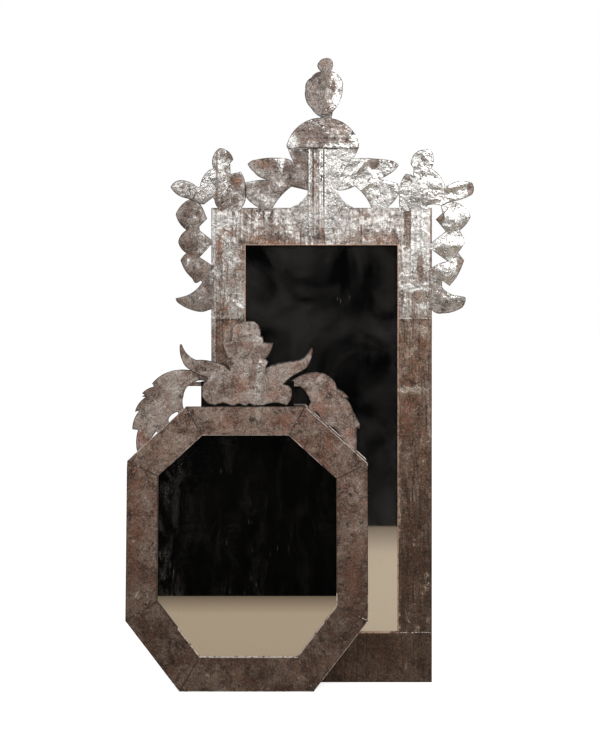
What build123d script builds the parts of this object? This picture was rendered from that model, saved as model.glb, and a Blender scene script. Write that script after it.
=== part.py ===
"""A set of two tin mirrors: a tall rectangular one with a crest, and an octagonal one that leans on it.

Millimetres, +Z up, -Y towards the viewer. The origin is at the middle of the tall mirror's foot.
Tin sheet covers a wooden core; the cut-tin ornament is lapped on the tin and soldered.
"""
import os
from math import cos, hypot, radians, sin

from build123d import *

# Sheet and fastener stock
TIN = 0.8                 # thickness of every tin sheet
CLEARANCE = 0.3           # gap between the two mirrors, and round loose panels
GLASS = 4.0               # thickness of the mirror glass
BACKBOARD = 5.0           # thickness of the backboards
STRAP = 2.0               # thickness of the iron straps
NAIL_SHANK = 1.6          # across its square shank
NAIL_LENGTH = 12.0
NAIL_HEAD = 5.0           # across its four-sided head
NAIL_HEAD_TOP = 2.2       # across the flat on the head
NAIL_HEAD_RISE = 1.2
SPRIG_LENGTH = 12.0       # glazing sprigs, flat points that hold a backboard
SPRIG_WIDTH = 8.0
BEAD = 1.8                # radius of a solder bead
BEAD_END_GAP = 4.0        # what a bead stops short of the ends of its seam

# Tall mirror
TALL_WIDTH = 706.0
TALL_HEIGHT = 1518.0
TALL_STILE = 109.0        # width of each upright on the face
TALL_TOP_RAIL = 119.0
TALL_BOTTOM_RAIL = 159.0
TALL_CORE_DEPTH = 22.0    # thickness of the wood
TALL_LIP = 8.0            # thickness of wood in front of the glass
TALL_REBATE = 12.0        # how far the glass reaches behind the lip
TALL_SHEET_SEAM = 355.0   # from the top of the frame down to the seam across the uprights
EDGE_STRIP = 14.0         # width of the left edge strip on the face
TALL_NAIL_PITCH = 190.0
TALL_NAIL_INSET = 60.0    # from the ends of the frame to the first nail
UPRIGHT_SPRIG_COUNT = 4
RAIL_SPRIG_COUNT = 2

# Crest of the tall mirror
LAP = 10.0                # how far ornament laps on the frame
FLUTE_RADIUS = 5.0
FLUTE_COUNT = 4
FLUTE_PITCH = 17.0
FLUTE_CENTRE = -14.0      # sideways place of the middle of the flutes
DOME_BOW = 9.0            # how far the dome stands out in the middle
DOME_SEAM = 190.0         # height of the dome's seam over the frame
FINIAL_CREASE = 8.0       # how far the finial's sides fold back
FINIAL_NECK = 291.0       # height of the finial's neck over the frame
FINIAL_CREASE_X = 15.0
FINIAL_CREASE_LEAN = 7.0  # degrees
CREST_STRAP_WIDTH = 20.0
CREST_STRAP_LEFT = 50.0   # from the frame's left corner to the strap behind the left spray
CREST_STRAP_RIGHT = 40.0  # the same on the right
CREST_STRAP_RISE = 130.0  # height of those two over the frame
CREST_POST_RISE = 240.0   # height of the strap behind the goblet

# Hangers of the tall mirror
HANGER_DROP = 210.0       # from the top of the frame down to the rings' axis
HANGER_SIDE = 305.0       # from the middle of the mirror to each hanger
HANGER_WIDTH = 16.0
HANGER_LENGTH = 48.0
HANGER_SHEET = 1.2
RING_WIRE = 3.2           # diameter
RING_FACETS = 6           # flats round the drawn wire
RING_PLAY = 0.4           # between the wire and the loop that holds it, all round
RING_HALF_WIDTH = 13.0    # to the middle of the wire
RING_CORNER = 4.0
RING_SHOULDER = 8.0       # from the ring's axis down to where its round end starts
SCREW_SHANK = 3.0         # diameter
SCREW_LENGTH = 14.0
SCREW_HEAD = 7.0          # diameter
SCREW_HEAD_RISE = 2.0
SCREW_SLOT = 1.0
SCREW_FACETS = 12         # flats round its head and shank
SCREW_DROPS = (28.0, 40.0)  # from the ring's axis down to each screw

# Octagonal mirror, drawn upright with the back at y = 0
OCT_WIDTH = 762.0
OCT_HEIGHT = 886.0
OCT_TOP_EDGE = 378.0      # length of the top edge
OCT_TOP_SHIFT = -6.0      # how far its middle lies to the right of the foot's
OCT_BOTTOM_EDGE = 420.0
OCT_SHOULDER_LEFT = 715.0   # heights of the upper side corners, as the frame is not quite even
OCT_SHOULDER_RIGHT = 707.0
OCT_HIP = 217.0           # height of the lower side corners
OCT_STRIP_TOP = 91.0      # widths of the tin strips on the face
OCT_STRIP_UPPER = 102.0
OCT_STRIP_SIDE = 99.0
OCT_STRIP_LOWER_RIGHT = 106.0
OCT_STRIP_BOTTOM = 106.0
OCT_STRIP_LOWER_LEFT = 115.0
OCT_CORE_DEPTH = 20.0
OCT_LIP = 7.0
OCT_REBATE = 10.0
OCT_NAIL_COUNT = 2        # on each side but the top and the foot
OCT_SIDEWAYS = -236.0     # from the middle of the tall mirror to the middle of this one
OCT_LEAN = 3.9            # degrees
BATTEN_HALF = 148.0
BATTEN_HEIGHT = 80.0
BATTEN_DEPTH = 12.0
OCT_STRAP_LEFT = -190.0
OCT_STRAP_RIGHT = 172.0
OCT_STRAP_WIDTH = 14.0
OCT_STRAP_RISE = 64.0     # from the top of the frame up to the strap
TAB_WIDTH = 40.0
TAB_SHEET = 1.2
TAB_BOTTOM = 20.0         # heights over the frame
TAB_TOP = 104.0
TAB_HOLE = 8.0            # diameter
TAB_HOLE_RISE = 91.0

# Outlines of the cut tin. Each entry is a corner, (across, up), with the bow of the edge that follows it
# as a third value where that edge is an arc. They run clockwise, so a positive bow swells outwards.
# Those of the tall mirror's crest are measured from the middle of the frame's top edge.
# The wings' own ends are measured from the inner edge of each upright, as they reach out to the sprays.
WING_LEFT = [
    (148, 68, -5), (89, 2), (89, -LAP), (40, -LAP), (40, 2, 3), (2, 34), (-1, 81, 2), (68, 91, 5),
    (27, 115, 2), (7, 140, 3), (31, 154, 4), (124, 159, 3), (152, 147),
]
WING_POST = [(-45, 160), (-45, 262), (55, 262), (55, 160)]
WING_RIGHT = [
    (-132, 158, 4), (-18, 151, 2), (4, 136, 6), (-60, 92, 2), (2, 77), (3, 44, 3), (-30, 4), (-30, -LAP),
    (-86, -LAP), (-86, 2, -7), (-139, 69, 5),
]
WING_TONGUE = [(45, 56), (45, -70), (-45, -70), (-45, 56)]
GOBLET = [
    (-50, -100, 6), (-98, 2, -9), (-40, 56, -6), (-84, 135, 2), (-108, DOME_SEAM), (118, DOME_SEAM, 2),
    (95, 150, -8), (50, 56, -9), (101, 2, 6), (18, -100),
]
DOME = [(-108, DOME_SEAM, 3), (-110, 206, 26), (10, 287, 24), (120, 206, 2), (118, DOME_SEAM)]
FINIAL = [
    (-4, FINIAL_NECK, 3), (-32, 318, 9), (-52, 382, 7), (-33, 418, 5), (-2, 437, 2), (-14, 456, 6),
    (14, 480, 7), (37, 460, 2), (30, 437, 3), (57, 421, 5), (68, 389, 9), (36, 308), (33, FINIAL_NECK),
]
TANG = [(-4, 225), (-4, 297), (33, 297), (33, 225)]
# Those of the corner sprays and garlands are measured from the frame's own upper corner.
SPRAY_LEFT = [
    (32, -LAP, 5), (10, 26), (5, 33), (-23, 11), (-34, 12), (-69, 28), (-93, 34, 5), (-132, 68, 6),
    (-97, 90, 5), (-43, 66), (-36, 69, 8), (-2, 124), (6, 127, 12), (27, 191, 10), (71, 154), (61, 143),
    (62, 108), (94, 116, 3), (TALL_STILE - 1, 81), (TALL_STILE + 2, 34, 6), (86, -LAP),
]
GARLAND_LEFT = [
    (-69, 28), (-34, 12, 1), (-13, -35), (-38, -60), (-37, -72), (9, -108), (-37, -158, 1), (LAP, -190),
    (LAP, -322), (-8, -327, 2), (-37, -333, 5), (-107, -304, 2), (-114, -289), (-96, -285, -9), (-29, -237),
    (-35, -233, 3), (-53, -240), (-62, -225, 5), (-99, -167, 2), (-80, -145, 5), (-106, -108, 5),
    (-80, -71, 6), (-114, -20, 7),
]
SPRAY_RIGHT = [
    (5 - TALL_STILE, -LAP), (3 - TALL_STILE, 60, 3), (-85, 108, 4), (-60, 101), (-59, 128, 4),
    (-67, 150, 11), (-22, 186, 10), (4, 161, 4), (-2, 126, 8), (43, 68), (74, 83, 5), (131, 81, 6),
    (131, 44, 4), (61, 20), (29, 7, -4), (-16, 7), (-16, -LAP),
]
GARLAND_RIGHT = [
    (29, 7), (61, 20, 4), (98, 7, 5), (124, -29, 4), (90, -72), (108, -107, 1), (84, -143), (104, -168, 2),
    (76, -227), (57, -250), (33, -233), (33, -254, -4), (74, -280, 1), (108, -286, 4), (98, -319, 5),
    (33, -338, 5), (0, -327), (-LAP, -327), (-LAP, -193), (-2, -193, 4), (50, -171), (-16, -123), (44, -75),
    (30, -58), (12, -37), (33, -17),
]
# Those of the octagonal mirror's crest are measured from the middle of its top edge.
CREST_EDGE = [
    (-114, 7, 4), (-138, 23, 4), (-144, 49, 4), (-138, 75), (-127, 88), (-138, 96, 3), (-186, 117, 3),
    (-208, 143, 4), (-217, 198), (-210, 197, -8), (-164, 148, 4), (-98, 138, 4), (-56, 112, -2), (-72, 141),
    (-64, 154, 2), (-81, 203), (-54, 206, -2), (-51, 248, 7), (1, 271, 8), (37, 250, 3), (40, 222),
    (48, 222), (50, 202), (80, 201, 5), (56, 151), (66, 141), (56, 121, 3), (129, 141, -1), (165, 147, -4),
    (192, 170, -1), (203, 185), (208, 182, 3), (192, 127, 2), (156, 104, -3), (114, 70), (129, 67, 4),
    (142, 40, 4),
]
CREST_FOOT = [            # the scalloped lower edge that closes the outline above
    (124, 4, -8), (51, 3), (17, 3, -6), (-2, 3), (-16, 3, -6), (-39, 3), (-54, 3, -8), (-103, 3),
]
LEAF_LEFT = [
    (-332, -156), (-353, -140, 4), (-350, -75), (-368, -73, 6), (-346, -14), (-360, -18, 6), (-327, 29),
    (-340, 31), (-330, 36), (-338, 41, 4), (-300, 63), (-306, 73, 9), (-227, 116, 10), (-127, 91),
    (-108, 84), (-108, 70), (-138, 80, -3), (-169, 78, -9), (-205, 32, -4), (-203, -9), (-192, -38),
    (-214, -50), (-224, -18, -4), (-252, -40), (-250, -78), (-276, -98), (-291, -80, -4),
]
LEAF_RIGHT = [
    (108, 48), (108, 66), (129, 70, 10), (218, 108, 9), (281, 73), (284, 57, 4), (323, 26), (310, 28, 4),
    (336, -14), (354, -50, 3), (357, -71), (346, -69, 3), (346, -137), (334, -154), (286, -80, -4),
    (255, -62), (262, -94), (236, -88), (234, -43, -3), (216, -16), (196, -38), (192, -8), (201, 12, -9),
    (150, 73, -4),
]

# Places that follow from the sizes above
TALL_HALF = TALL_WIDTH / 2
OPENING_HALF = TALL_HALF - TALL_STILE
OPENING_BOTTOM = TALL_BOTTOM_RAIL
OPENING_TOP = TALL_HEIGHT - TALL_TOP_RAIL
CORE_FRONT = -TALL_CORE_DEPTH / 2
CORE_BACK = TALL_CORE_DEPTH / 2
FACE = CORE_FRONT - TIN                # front of the tall mirror's tin
GLASS_FRONT = CORE_FRONT + TALL_LIP
GLASS_BACK = GLASS_FRONT + GLASS
BOARD_BACK = GLASS_BACK + BACKBOARD
WOOD_HALF = TALL_HALF - TIN
WOOD_OPENING = OPENING_HALF + TIN      # the wood stops where the tin folds over its inner edge
REBATE_HALF = WOOD_OPENING + TALL_REBATE
REBATE_BOTTOM = OPENING_BOTTOM - TIN - TALL_REBATE
REBATE_TOP = OPENING_TOP + TIN + TALL_REBATE
SHEET_SEAM = TALL_HEIGHT - TALL_SHEET_SEAM
RING_AXIS_Z = TALL_HEIGHT - HANGER_DROP
LOOP_INNER = RING_WIRE / 2 + RING_PLAY
LOOP_OUTER = LOOP_INNER + HANGER_SHEET
RING_AXIS_Y = CORE_BACK + LOOP_OUTER
OCT_FACE = -OCT_CORE_DEPTH - TIN
OCT_GLASS_FRONT = OCT_LIP - OCT_CORE_DEPTH
OCT_GLASS_BACK = OCT_GLASS_FRONT + GLASS
OCT_BOARD_BACK = OCT_GLASS_BACK + BACKBOARD
OCT_HALF = OCT_WIDTH / 2
OCT_STRAP_BACK = TAB_SHEET + STRAP
OCT_SIDES = ("top", "upper_right", "right", "lower_right", "bottom", "lower_left", "left", "upper_left")
OCT_STRIPS = (
    OCT_STRIP_TOP, OCT_STRIP_UPPER, OCT_STRIP_SIDE, OCT_STRIP_LOWER_RIGHT,
    OCT_STRIP_BOTTOM, OCT_STRIP_LOWER_LEFT, OCT_STRIP_SIDE, OCT_STRIP_UPPER,
)
OCT_CORNERS = (
    (OCT_TOP_SHIFT - OCT_TOP_EDGE / 2, OCT_HEIGHT), (OCT_TOP_SHIFT + OCT_TOP_EDGE / 2, OCT_HEIGHT),
    (OCT_HALF, OCT_SHOULDER_RIGHT), (OCT_HALF, OCT_HIP), (OCT_BOTTOM_EDGE / 2, 0),
    (-OCT_BOTTOM_EDGE / 2, 0), (-OCT_HALF, OCT_HIP), (-OCT_HALF, OCT_SHOULDER_LEFT),
)
CREST_TOP = OCT_HEIGHT + max(corner[1] for corner in CREST_EDGE)
STRAP_TOP = OCT_HEIGHT + OCT_STRAP_RISE + OCT_STRAP_WIDTH
TAB_REACH = TAB_SHEET * cos(radians(OCT_LEAN)) + (OCT_HEIGHT + TAB_TOP) * sin(radians(OCT_LEAN))
STRAP_REACH = OCT_STRAP_BACK * cos(radians(OCT_LEAN)) + STRAP_TOP * sin(radians(OCT_LEAN))
CREST_REACH = CREST_TOP * sin(radians(OCT_LEAN)) - BATTEN_DEPTH * cos(radians(OCT_LEAN))
OCT_FOOT_Y = FACE - CLEARANCE - max(TAB_REACH, STRAP_REACH, CREST_REACH)


def block(x0, x1, y0, y1, z0, z1):
    """A box between two corners."""
    return Pos((x0 + x1) / 2, (y0 + y1) / 2, (z0 + z1) / 2) * Box(x1 - x0, y1 - y0, z1 - z0)


def spaced(first, last, count):
    """Places at even steps from first to last."""
    if count < 2:
        return [(first + last) / 2]
    return [first + (last - first) * i / (count - 1) for i in range(count)]


def outline_face(corners, x=0.0, z=0.0):
    """An upright face inside an outline of corners and bows, moved to x, z."""
    edges = []
    for here, following in zip(corners, corners[1:] + corners[:1]):
        start = Vector(here[0] + x, 0, here[1] + z)
        end = Vector(following[0] + x, 0, following[1] + z)
        bow = here[2] if len(here) > 2 else 0
        if bow:
            along = (end - start).normalized()
            crown = (start + end) * 0.5 + Vector(-along.Z, 0, along.X) * bow
            edges.append(ThreePointArc(start, crown, end))
        else:
            edges.append(Line(start, end))
    return Face(Wire(edges))


def prism(corners, front, depth, x=0.0, z=0.0):
    """A flat sheet or board cut to an outline, from front towards the back."""
    return Pos(0, front, 0) * extrude(outline_face(corners, x, z), depth, dir=(0, 1, 0))


def bead(start, end, front, radius=BEAD):
    """A half-round bead of solder that lies on an upright face between two places (x, z)."""
    run = Vector(end[0] - start[0], 0, end[1] - start[1])
    step = run.normalized() * BEAD_END_GAP
    base = Vector(start[0], front, start[1]) + step
    half_round = Wire([
        ThreePointArc((0, -radius), (radius, 0), (0, radius)),
        Line((0, radius), (0, -radius)),
    ])
    section = Plane(base, x_dir=(0, -1, 0), z_dir=run) * Face(half_round)
    return extrude(section, run.length - 2 * BEAD_END_GAP, dir=run.normalized())


def nail_shank(place, inward):
    """The square shank of a nail driven inward from place, and so the hole that it makes."""
    seat = Plane(place, x_dir=(0, 1, 0), z_dir=inward)
    return seat * (Pos(0, 0, NAIL_LENGTH / 2) * Box(NAIL_SHANK, NAIL_SHANK, NAIL_LENGTH))


def nail(place, inward):
    """A hand-forged nail whose low four-sided head lies on a surface at place."""
    seat = Plane(place, x_dir=(0, 1, 0), z_dir=inward)
    base = Rectangle(NAIL_HEAD, NAIL_HEAD)
    flat = Pos(0, 0, -NAIL_HEAD_RISE) * Rectangle(NAIL_HEAD_TOP, NAIL_HEAD_TOP)
    return seat * loft([base, flat]) + nail_shank(place, inward)


def screw(x, y, z):
    """A slotted flat-topped screw with its head's underside at y, driven towards the front."""
    seat = Plane((x, y, z), x_dir=(1, 0, 0), z_dir=(0, 1, 0))
    head = extrude(RegularPolygon(SCREW_HEAD / 2, SCREW_FACETS), SCREW_HEAD_RISE)
    slot = Pos(0, 0, SCREW_HEAD_RISE) * Box(SCREW_HEAD * 2, SCREW_SLOT, SCREW_HEAD_RISE)
    shank = extrude(RegularPolygon(SCREW_SHANK / 2, SCREW_FACETS), -SCREW_LENGTH)
    return seat * (head - slot + shank)


def sprig(x, y, z, towards):
    """A flat glazing point that stands on a backboard, its broad end against the rebate's wall."""
    point = Polyline((0, -SPRIG_WIDTH / 2), (0, SPRIG_WIDTH / 2), (SPRIG_LENGTH, 0), close=True)
    flat = Plane((x, y, z), x_dir=towards, z_dir=(0, 1, 0)) * Face(Wire(point.edges()))
    return extrude(flat, TIN, dir=(0, 1, 0))


def inset(corners, insets):
    """The corners of a convex outline after each side moves in by its own distance."""
    lines = []
    for (x0, z0), (x1, z1), distance in zip(corners, corners[1:] + corners[:1], insets):
        length = hypot(x1 - x0, z1 - z0)
        nx, nz = (z1 - z0) / length, (x0 - x1) / length
        lines.append((nx, nz, nx * x0 + nz * z0 + distance))
    moved = []
    for (a0, b0, c0), (a1, b1, c1) in zip(lines[-1:] + lines[:-1], lines):
        spread = a0 * b1 - a1 * b0
        moved.append(((c0 * b1 - c1 * b0) / spread, (a0 * c1 - a1 * c0) / spread))
    return moved


def octagon_band(side, outer, inner, y0, y1):
    """The mitred piece along one side of the octagon, between two insets of all its sides."""
    far = inset(OCT_CORNERS, outer)
    near = inset(OCT_CORNERS, inner)
    after = (side + 1) % len(OCT_CORNERS)
    return prism([far[side], far[after], near[after], near[side]], y0, y1 - y0)


def octagon_panel(edge, y0, y1):
    """An eight-sided panel inside an inset of all the sides."""
    return prism(inset(OCT_CORNERS, edge), y0, y1 - y0)


# ---- tall mirror -------------------------------------------------------------------------------------

def side_nail_heights():
    """Heights of the nails through the tin's folded sides."""
    count = int((TALL_HEIGHT - 2 * TALL_NAIL_INSET) // TALL_NAIL_PITCH) + 1
    return spaced(TALL_NAIL_INSET, TALL_HEIGHT - TALL_NAIL_INSET, count)


def side_nails():
    """Where each side nail goes in, and which way it points."""
    return [((side * TALL_HALF, 0, z), (-side, 0, 0)) for side in (-1, 1) for z in side_nail_heights()]


def hanger_screws():
    """Where each hanger screw's head seats."""
    return [
        (side * HANGER_SIDE, CORE_BACK + HANGER_SHEET, RING_AXIS_Z - drop)
        for side in (-1, 1) for drop in SCREW_DROPS
    ]


def with_holes(piece, nails=(), screws=()):
    """A piece with the holes that its fasteners make."""
    for place, inward in nails:
        piece -= nail_shank(place, inward)
    for x, y, z in screws:
        piece -= Pos(x, y - SCREW_LENGTH / 2, z) * Rot(90, 0, 0) * Cylinder(SCREW_SHANK / 2, SCREW_LENGTH)
    return piece


def tall_stile_core(side):
    """An upright of the wood core, with the rebate for the glass behind its lip."""
    x0, x1 = sorted((side * WOOD_HALF, side * WOOD_OPENING))
    r0, r1 = sorted((side * WOOD_OPENING, side * REBATE_HALF))
    stile = block(x0, x1, CORE_FRONT, CORE_BACK, TIN, TALL_HEIGHT - TIN)
    stile -= block(r0, r1, GLASS_FRONT, CORE_BACK, REBATE_BOTTOM, REBATE_TOP)
    nails = [n for n in side_nails() if n[0][0] * side > 0]
    screws = [s for s in hanger_screws() if s[0] * side > 0]
    return with_holes(stile, nails, screws)


def tall_rail_core(z0, z1, r0, r1):
    """A rail of the wood core between the uprights, from z0 to z1, rebated from r0 to r1."""
    rail = block(-WOOD_OPENING, WOOD_OPENING, CORE_FRONT, CORE_BACK, z0, z1)
    return rail - block(-WOOD_OPENING, WOOD_OPENING, GLASS_FRONT, CORE_BACK, r0, r1)


def tall_panel(y0, y1):
    """Glass or backboard, resting on the rebate's floor with clearance at its sides and top."""
    half = REBATE_HALF - CLEARANCE
    return block(-half, half, y0, y1, REBATE_BOTTOM, REBATE_TOP - CLEARANCE)


def stile_tin(side, z0, z1, outer, returned, capped):
    """A sheet on an upright's face: outer is where it stops, returned folds it round the side."""
    x0, x1 = sorted((side * outer, side * OPENING_HALF))
    sheet = block(x0, x1, FACE, CORE_FRONT, z0, z1)
    lip0, lip1 = sorted((side * OPENING_HALF, side * WOOD_OPENING))
    sheet += block(lip0, lip1, CORE_FRONT, GLASS_FRONT, z0, min(z1, OPENING_TOP))
    if returned:
        s0, s1 = sorted((side * TALL_HALF, side * WOOD_HALF))
        sheet += block(s0, s1, CORE_FRONT, CORE_BACK, z0, z1)
    if capped:
        c0, c1 = sorted((side * WOOD_HALF, side * OPENING_HALF))
        sheet += block(c0, c1, CORE_FRONT, CORE_BACK, z1 - TIN, z1)
    return with_holes(sheet, side_nails())


def tall_tin_top():
    """The top rail's sheet, folded over the top and over the inner edge."""
    sheet = block(-OPENING_HALF, OPENING_HALF, FACE, CORE_FRONT, OPENING_TOP, TALL_HEIGHT)
    sheet += block(-OPENING_HALF, OPENING_HALF, CORE_FRONT, CORE_BACK, TALL_HEIGHT - TIN, TALL_HEIGHT)
    return sheet + block(-OPENING_HALF, OPENING_HALF, CORE_FRONT, GLASS_FRONT, OPENING_TOP, OPENING_TOP + TIN)


def tall_tin_bottom():
    """The bottom rail's sheet runs under both uprights and folds round the foot and the right side."""
    left = EDGE_STRIP - TALL_HALF
    sheet = block(left, TALL_HALF, FACE, CORE_FRONT, 0, OPENING_BOTTOM)
    sheet += block(-WOOD_HALF, WOOD_HALF, CORE_FRONT, CORE_BACK, 0, TIN)
    sheet += block(left, WOOD_HALF, CORE_FRONT, CORE_FRONT + TIN, 0, TIN)
    sheet += block(WOOD_HALF, TALL_HALF, CORE_FRONT, CORE_BACK, 0, OPENING_BOTTOM)
    lip = OPENING_BOTTOM - TIN
    sheet += block(-OPENING_HALF, OPENING_HALF, CORE_FRONT, GLASS_FRONT, lip, OPENING_BOTTOM)
    return with_holes(sheet, side_nails())


def tall_edge_strip():
    """The narrow strip folded round the left side over the whole height."""
    strip = block(-TALL_HALF, EDGE_STRIP - TALL_HALF, FACE, CORE_FRONT, 0, TALL_HEIGHT)
    strip += block(-TALL_HALF, -WOOD_HALF, CORE_FRONT, CORE_BACK, 0, TALL_HEIGHT)
    return with_holes(strip, side_nails())


def tall_wings():
    """The sheet behind the goblet: a post and a tongue in the middle, and a wing and a leaf on each side."""
    left = [(corner[0] - OPENING_HALF, *corner[1:]) for corner in WING_LEFT]
    right = [(corner[0] + OPENING_HALF, *corner[1:]) for corner in WING_RIGHT]
    return prism(left + WING_POST + right + WING_TONGUE, FACE - TIN, TIN, z=TALL_HEIGHT)


def tall_goblet():
    """The crest's goblet: a sheet with raised flutes from its rim to its foot."""
    front = FACE - 2 * TIN
    sheet = prism(GOBLET, front, TIN, z=TALL_HEIGHT)
    span = FLUTE_PITCH * (FLUTE_COUNT - 1) / 2
    low = TALL_HEIGHT + min(corner[1] for corner in GOBLET)
    high = TALL_HEIGHT + DOME_SEAM
    for x in spaced(FLUTE_CENTRE - span, FLUTE_CENTRE + span, FLUTE_COUNT):
        sheet += bead((x, low), (x, high), front, FLUTE_RADIUS)
    return sheet


def tall_dome():
    """The dome over the goblet: its outline cut from a sheet that is bowed about an upright axis."""
    half = max(corner[0] for corner in DOME)
    radius = (half ** 2 + DOME_BOW ** 2) / (2 * DOME_BOW)
    tall = DOME[2][1] * 2
    axis_y = FACE - TIN - DOME_BOW + radius
    shell = Cylinder(radius, tall) - Cylinder(radius - TIN, tall)
    shell = Pos(0, axis_y, TALL_HEIGHT) * shell
    return shell & prism(DOME, FACE - TIN - 2 * DOME_BOW, 2 * DOME_BOW, z=TALL_HEIGHT)


def tall_finial():
    """The finial: both sides fold back from a leaning crease, and a flat tang goes down behind the dome."""
    front = FACE - 2 * TIN
    reach = max(abs(corner[0]) for corner in FINIAL) * 2
    fold = [(0, front), (reach, front + FINIAL_CREASE * 2), (reach, front + FINIAL_CREASE * 2 + TIN),
            (0, front + TIN), (-reach, front + FINIAL_CREASE * 2 + TIN), (-reach, front + FINIAL_CREASE * 2)]
    chevron = Face(Wire(Polyline(*fold, close=True).edges()))
    tall = FINIAL[6][1]
    folded = Pos(0, 0, -tall / 2) * extrude(chevron, tall * 2, dir=(0, 0, 1))
    middle = TALL_HEIGHT + (FINIAL_NECK + tall) / 2
    folded = Pos(FINIAL_CREASE_X, 0, middle) * Rot(0, FINIAL_CREASE_LEAN, 0) * Pos(0, 0, -tall / 2) * folded
    blank = prism(FINIAL, front, 4 * FINIAL_CREASE, z=TALL_HEIGHT)
    return (folded & blank) + prism(TANG, front, TIN, z=TALL_HEIGHT)


def tall_crest_straps():
    """L-shaped straps that stand on the frame behind the two sprays and behind the goblet."""
    width = CREST_STRAP_WIDTH
    straps = []
    places = (
        (CREST_STRAP_LEFT - TALL_HALF, CREST_STRAP_RISE),
        (0, CREST_POST_RISE),
        (TALL_HALF - CREST_STRAP_RIGHT, CREST_STRAP_RISE),
    )
    for x, rise in places:
        foot = block(x - width / 2, x + width / 2, FACE, CORE_BACK, TALL_HEIGHT, TALL_HEIGHT + STRAP)
        post = block(x - width / 2, x + width / 2, FACE, FACE + STRAP, TALL_HEIGHT, TALL_HEIGHT + rise)
        straps.append(foot + post)
    return straps


def tall_solder():
    """Beads on the seams of the face, and behind the joint of each spray with its garland."""
    left, right = EDGE_STRIP - TALL_HALF, TALL_HALF
    beads = [
        bead((left, SHEET_SEAM), (-OPENING_HALF, SHEET_SEAM), FACE),
        bead((OPENING_HALF, SHEET_SEAM), (right, SHEET_SEAM), FACE),
        bead((left, OPENING_BOTTOM), (-OPENING_HALF, OPENING_BOTTOM), FACE),
        bead((OPENING_HALF, OPENING_BOTTOM), (right, OPENING_BOTTOM), FACE),
    ]
    return beads


def tall_sprigs():
    """Glazing sprigs round the backboard."""
    points = []
    for z in spaced(OPENING_BOTTOM + TALL_NAIL_PITCH, OPENING_TOP - TALL_NAIL_PITCH, UPRIGHT_SPRIG_COUNT):
        for side in (-1, 1):
            points.append(sprig(side * REBATE_HALF, BOARD_BACK, z, (-side, 0, 0)))
    for x in spaced(-OPENING_HALF / 2, OPENING_HALF / 2, RAIL_SPRIG_COUNT):
        points.append(sprig(x, BOARD_BACK, REBATE_BOTTOM, (0, 0, 1)))
        points.append(sprig(x, BOARD_BACK, REBATE_TOP, (0, 0, -1)))
    return points


def hanger_strap(side):
    """A strap hanger: a plate screwed to the upright, its upper end rolled into a loop for the ring."""
    x = side * HANGER_SIDE
    half = HANGER_WIDTH / 2
    plate = block(x - half, x + half, CORE_BACK, CORE_BACK + HANGER_SHEET, RING_AXIS_Z - HANGER_LENGTH,
                  RING_AXIS_Z)
    roll = Cylinder(LOOP_OUTER, HANGER_WIDTH) - Cylinder(LOOP_INNER, HANGER_WIDTH)
    roll = Pos(x, RING_AXIS_Y, RING_AXIS_Z) * Rot(0, 90, 0) * roll
    bore = Pos(x, RING_AXIS_Y, RING_AXIS_Z) * Rot(0, 90, 0) * Cylinder(LOOP_INNER, HANGER_WIDTH)
    return with_holes(plate - bore + roll, screws=[s for s in hanger_screws() if s[0] * side > 0])


def hanger_ring(side):
    """A D-ring of drawn wire, hanging from its straight bar."""
    bar = RING_HALF_WIDTH - RING_CORNER
    give = RING_CORNER * (1 - cos(radians(45)))
    wide = RING_HALF_WIDTH
    path = Wire([
        Line((-bar, 0, 0), (bar, 0, 0)),
        ThreePointArc((bar, 0, 0), (wide - give, 0, -give), (wide, 0, -RING_CORNER)),
        Line((wide, 0, -RING_CORNER), (wide, 0, -RING_SHOULDER)),
        ThreePointArc((wide, 0, -RING_SHOULDER), (0, 0, -RING_SHOULDER - wide), (-wide, 0, -RING_SHOULDER)),
        Line((-wide, 0, -RING_SHOULDER), (-wide, 0, -RING_CORNER)),
        ThreePointArc((-wide, 0, -RING_CORNER), (give - wide, 0, -give), (-bar, 0, 0)),
    ])
    wire = RegularPolygon(RING_WIRE / 2, RING_FACETS)
    ring = sweep(Plane((-bar, 0, 0), z_dir=(1, 0, 0)) * wire, path)
    return Pos(side * HANGER_SIDE, RING_AXIS_Y, RING_AXIS_Z) * ring


# ---- octagonal mirror, upright with its back at y = 0 ------------------------------------------------

def octagon_insets(amount):
    """The same inset for every side."""
    return [amount] * len(OCT_SIDES)


def strip_insets(less):
    """Each side's strip width, less a margin."""
    return [strip - less for strip in OCT_STRIPS]


def octagon_nails():
    """Where the nails go in through the folded sides, and which way they point."""
    places = []
    for (x0, z0), (x1, z1) in zip(OCT_CORNERS, OCT_CORNERS[1:] + OCT_CORNERS[:1]):
        length = hypot(x1 - x0, z1 - z0)
        inward = ((z1 - z0) / length, 0, (x0 - x1) / length)
        if z0 == z1:
            continue                   # none under the foot or under the batten
        for share in spaced(0.25, 0.75, OCT_NAIL_COUNT):
            place = (x0 + (x1 - x0) * share, -OCT_CORE_DEPTH / 2, z0 + (z1 - z0) * share)
            places.append((place, inward))
    return places


def octagon_core(side):
    """One side of the wood core, thinner at the back where the glass sits."""
    outer = octagon_insets(TIN)
    lip = octagon_band(side, outer, strip_insets(TIN), -OCT_CORE_DEPTH, OCT_GLASS_FRONT)
    rest = octagon_band(side, outer, strip_insets(TIN + OCT_REBATE), OCT_GLASS_FRONT, 0)
    return with_holes(lip + rest, octagon_nails())


def octagon_tin(side):
    """One tin strip: face, the fold over the outside and the fold over the inner edge."""
    strip = octagon_band(side, octagon_insets(0), strip_insets(0), OCT_FACE, -OCT_CORE_DEPTH)
    strip += octagon_band(side, octagon_insets(0), octagon_insets(TIN), -OCT_CORE_DEPTH, 0)
    strip += octagon_band(side, strip_insets(TIN), strip_insets(0), -OCT_CORE_DEPTH, OCT_GLASS_FRONT)
    return with_holes(strip, octagon_nails())


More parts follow.
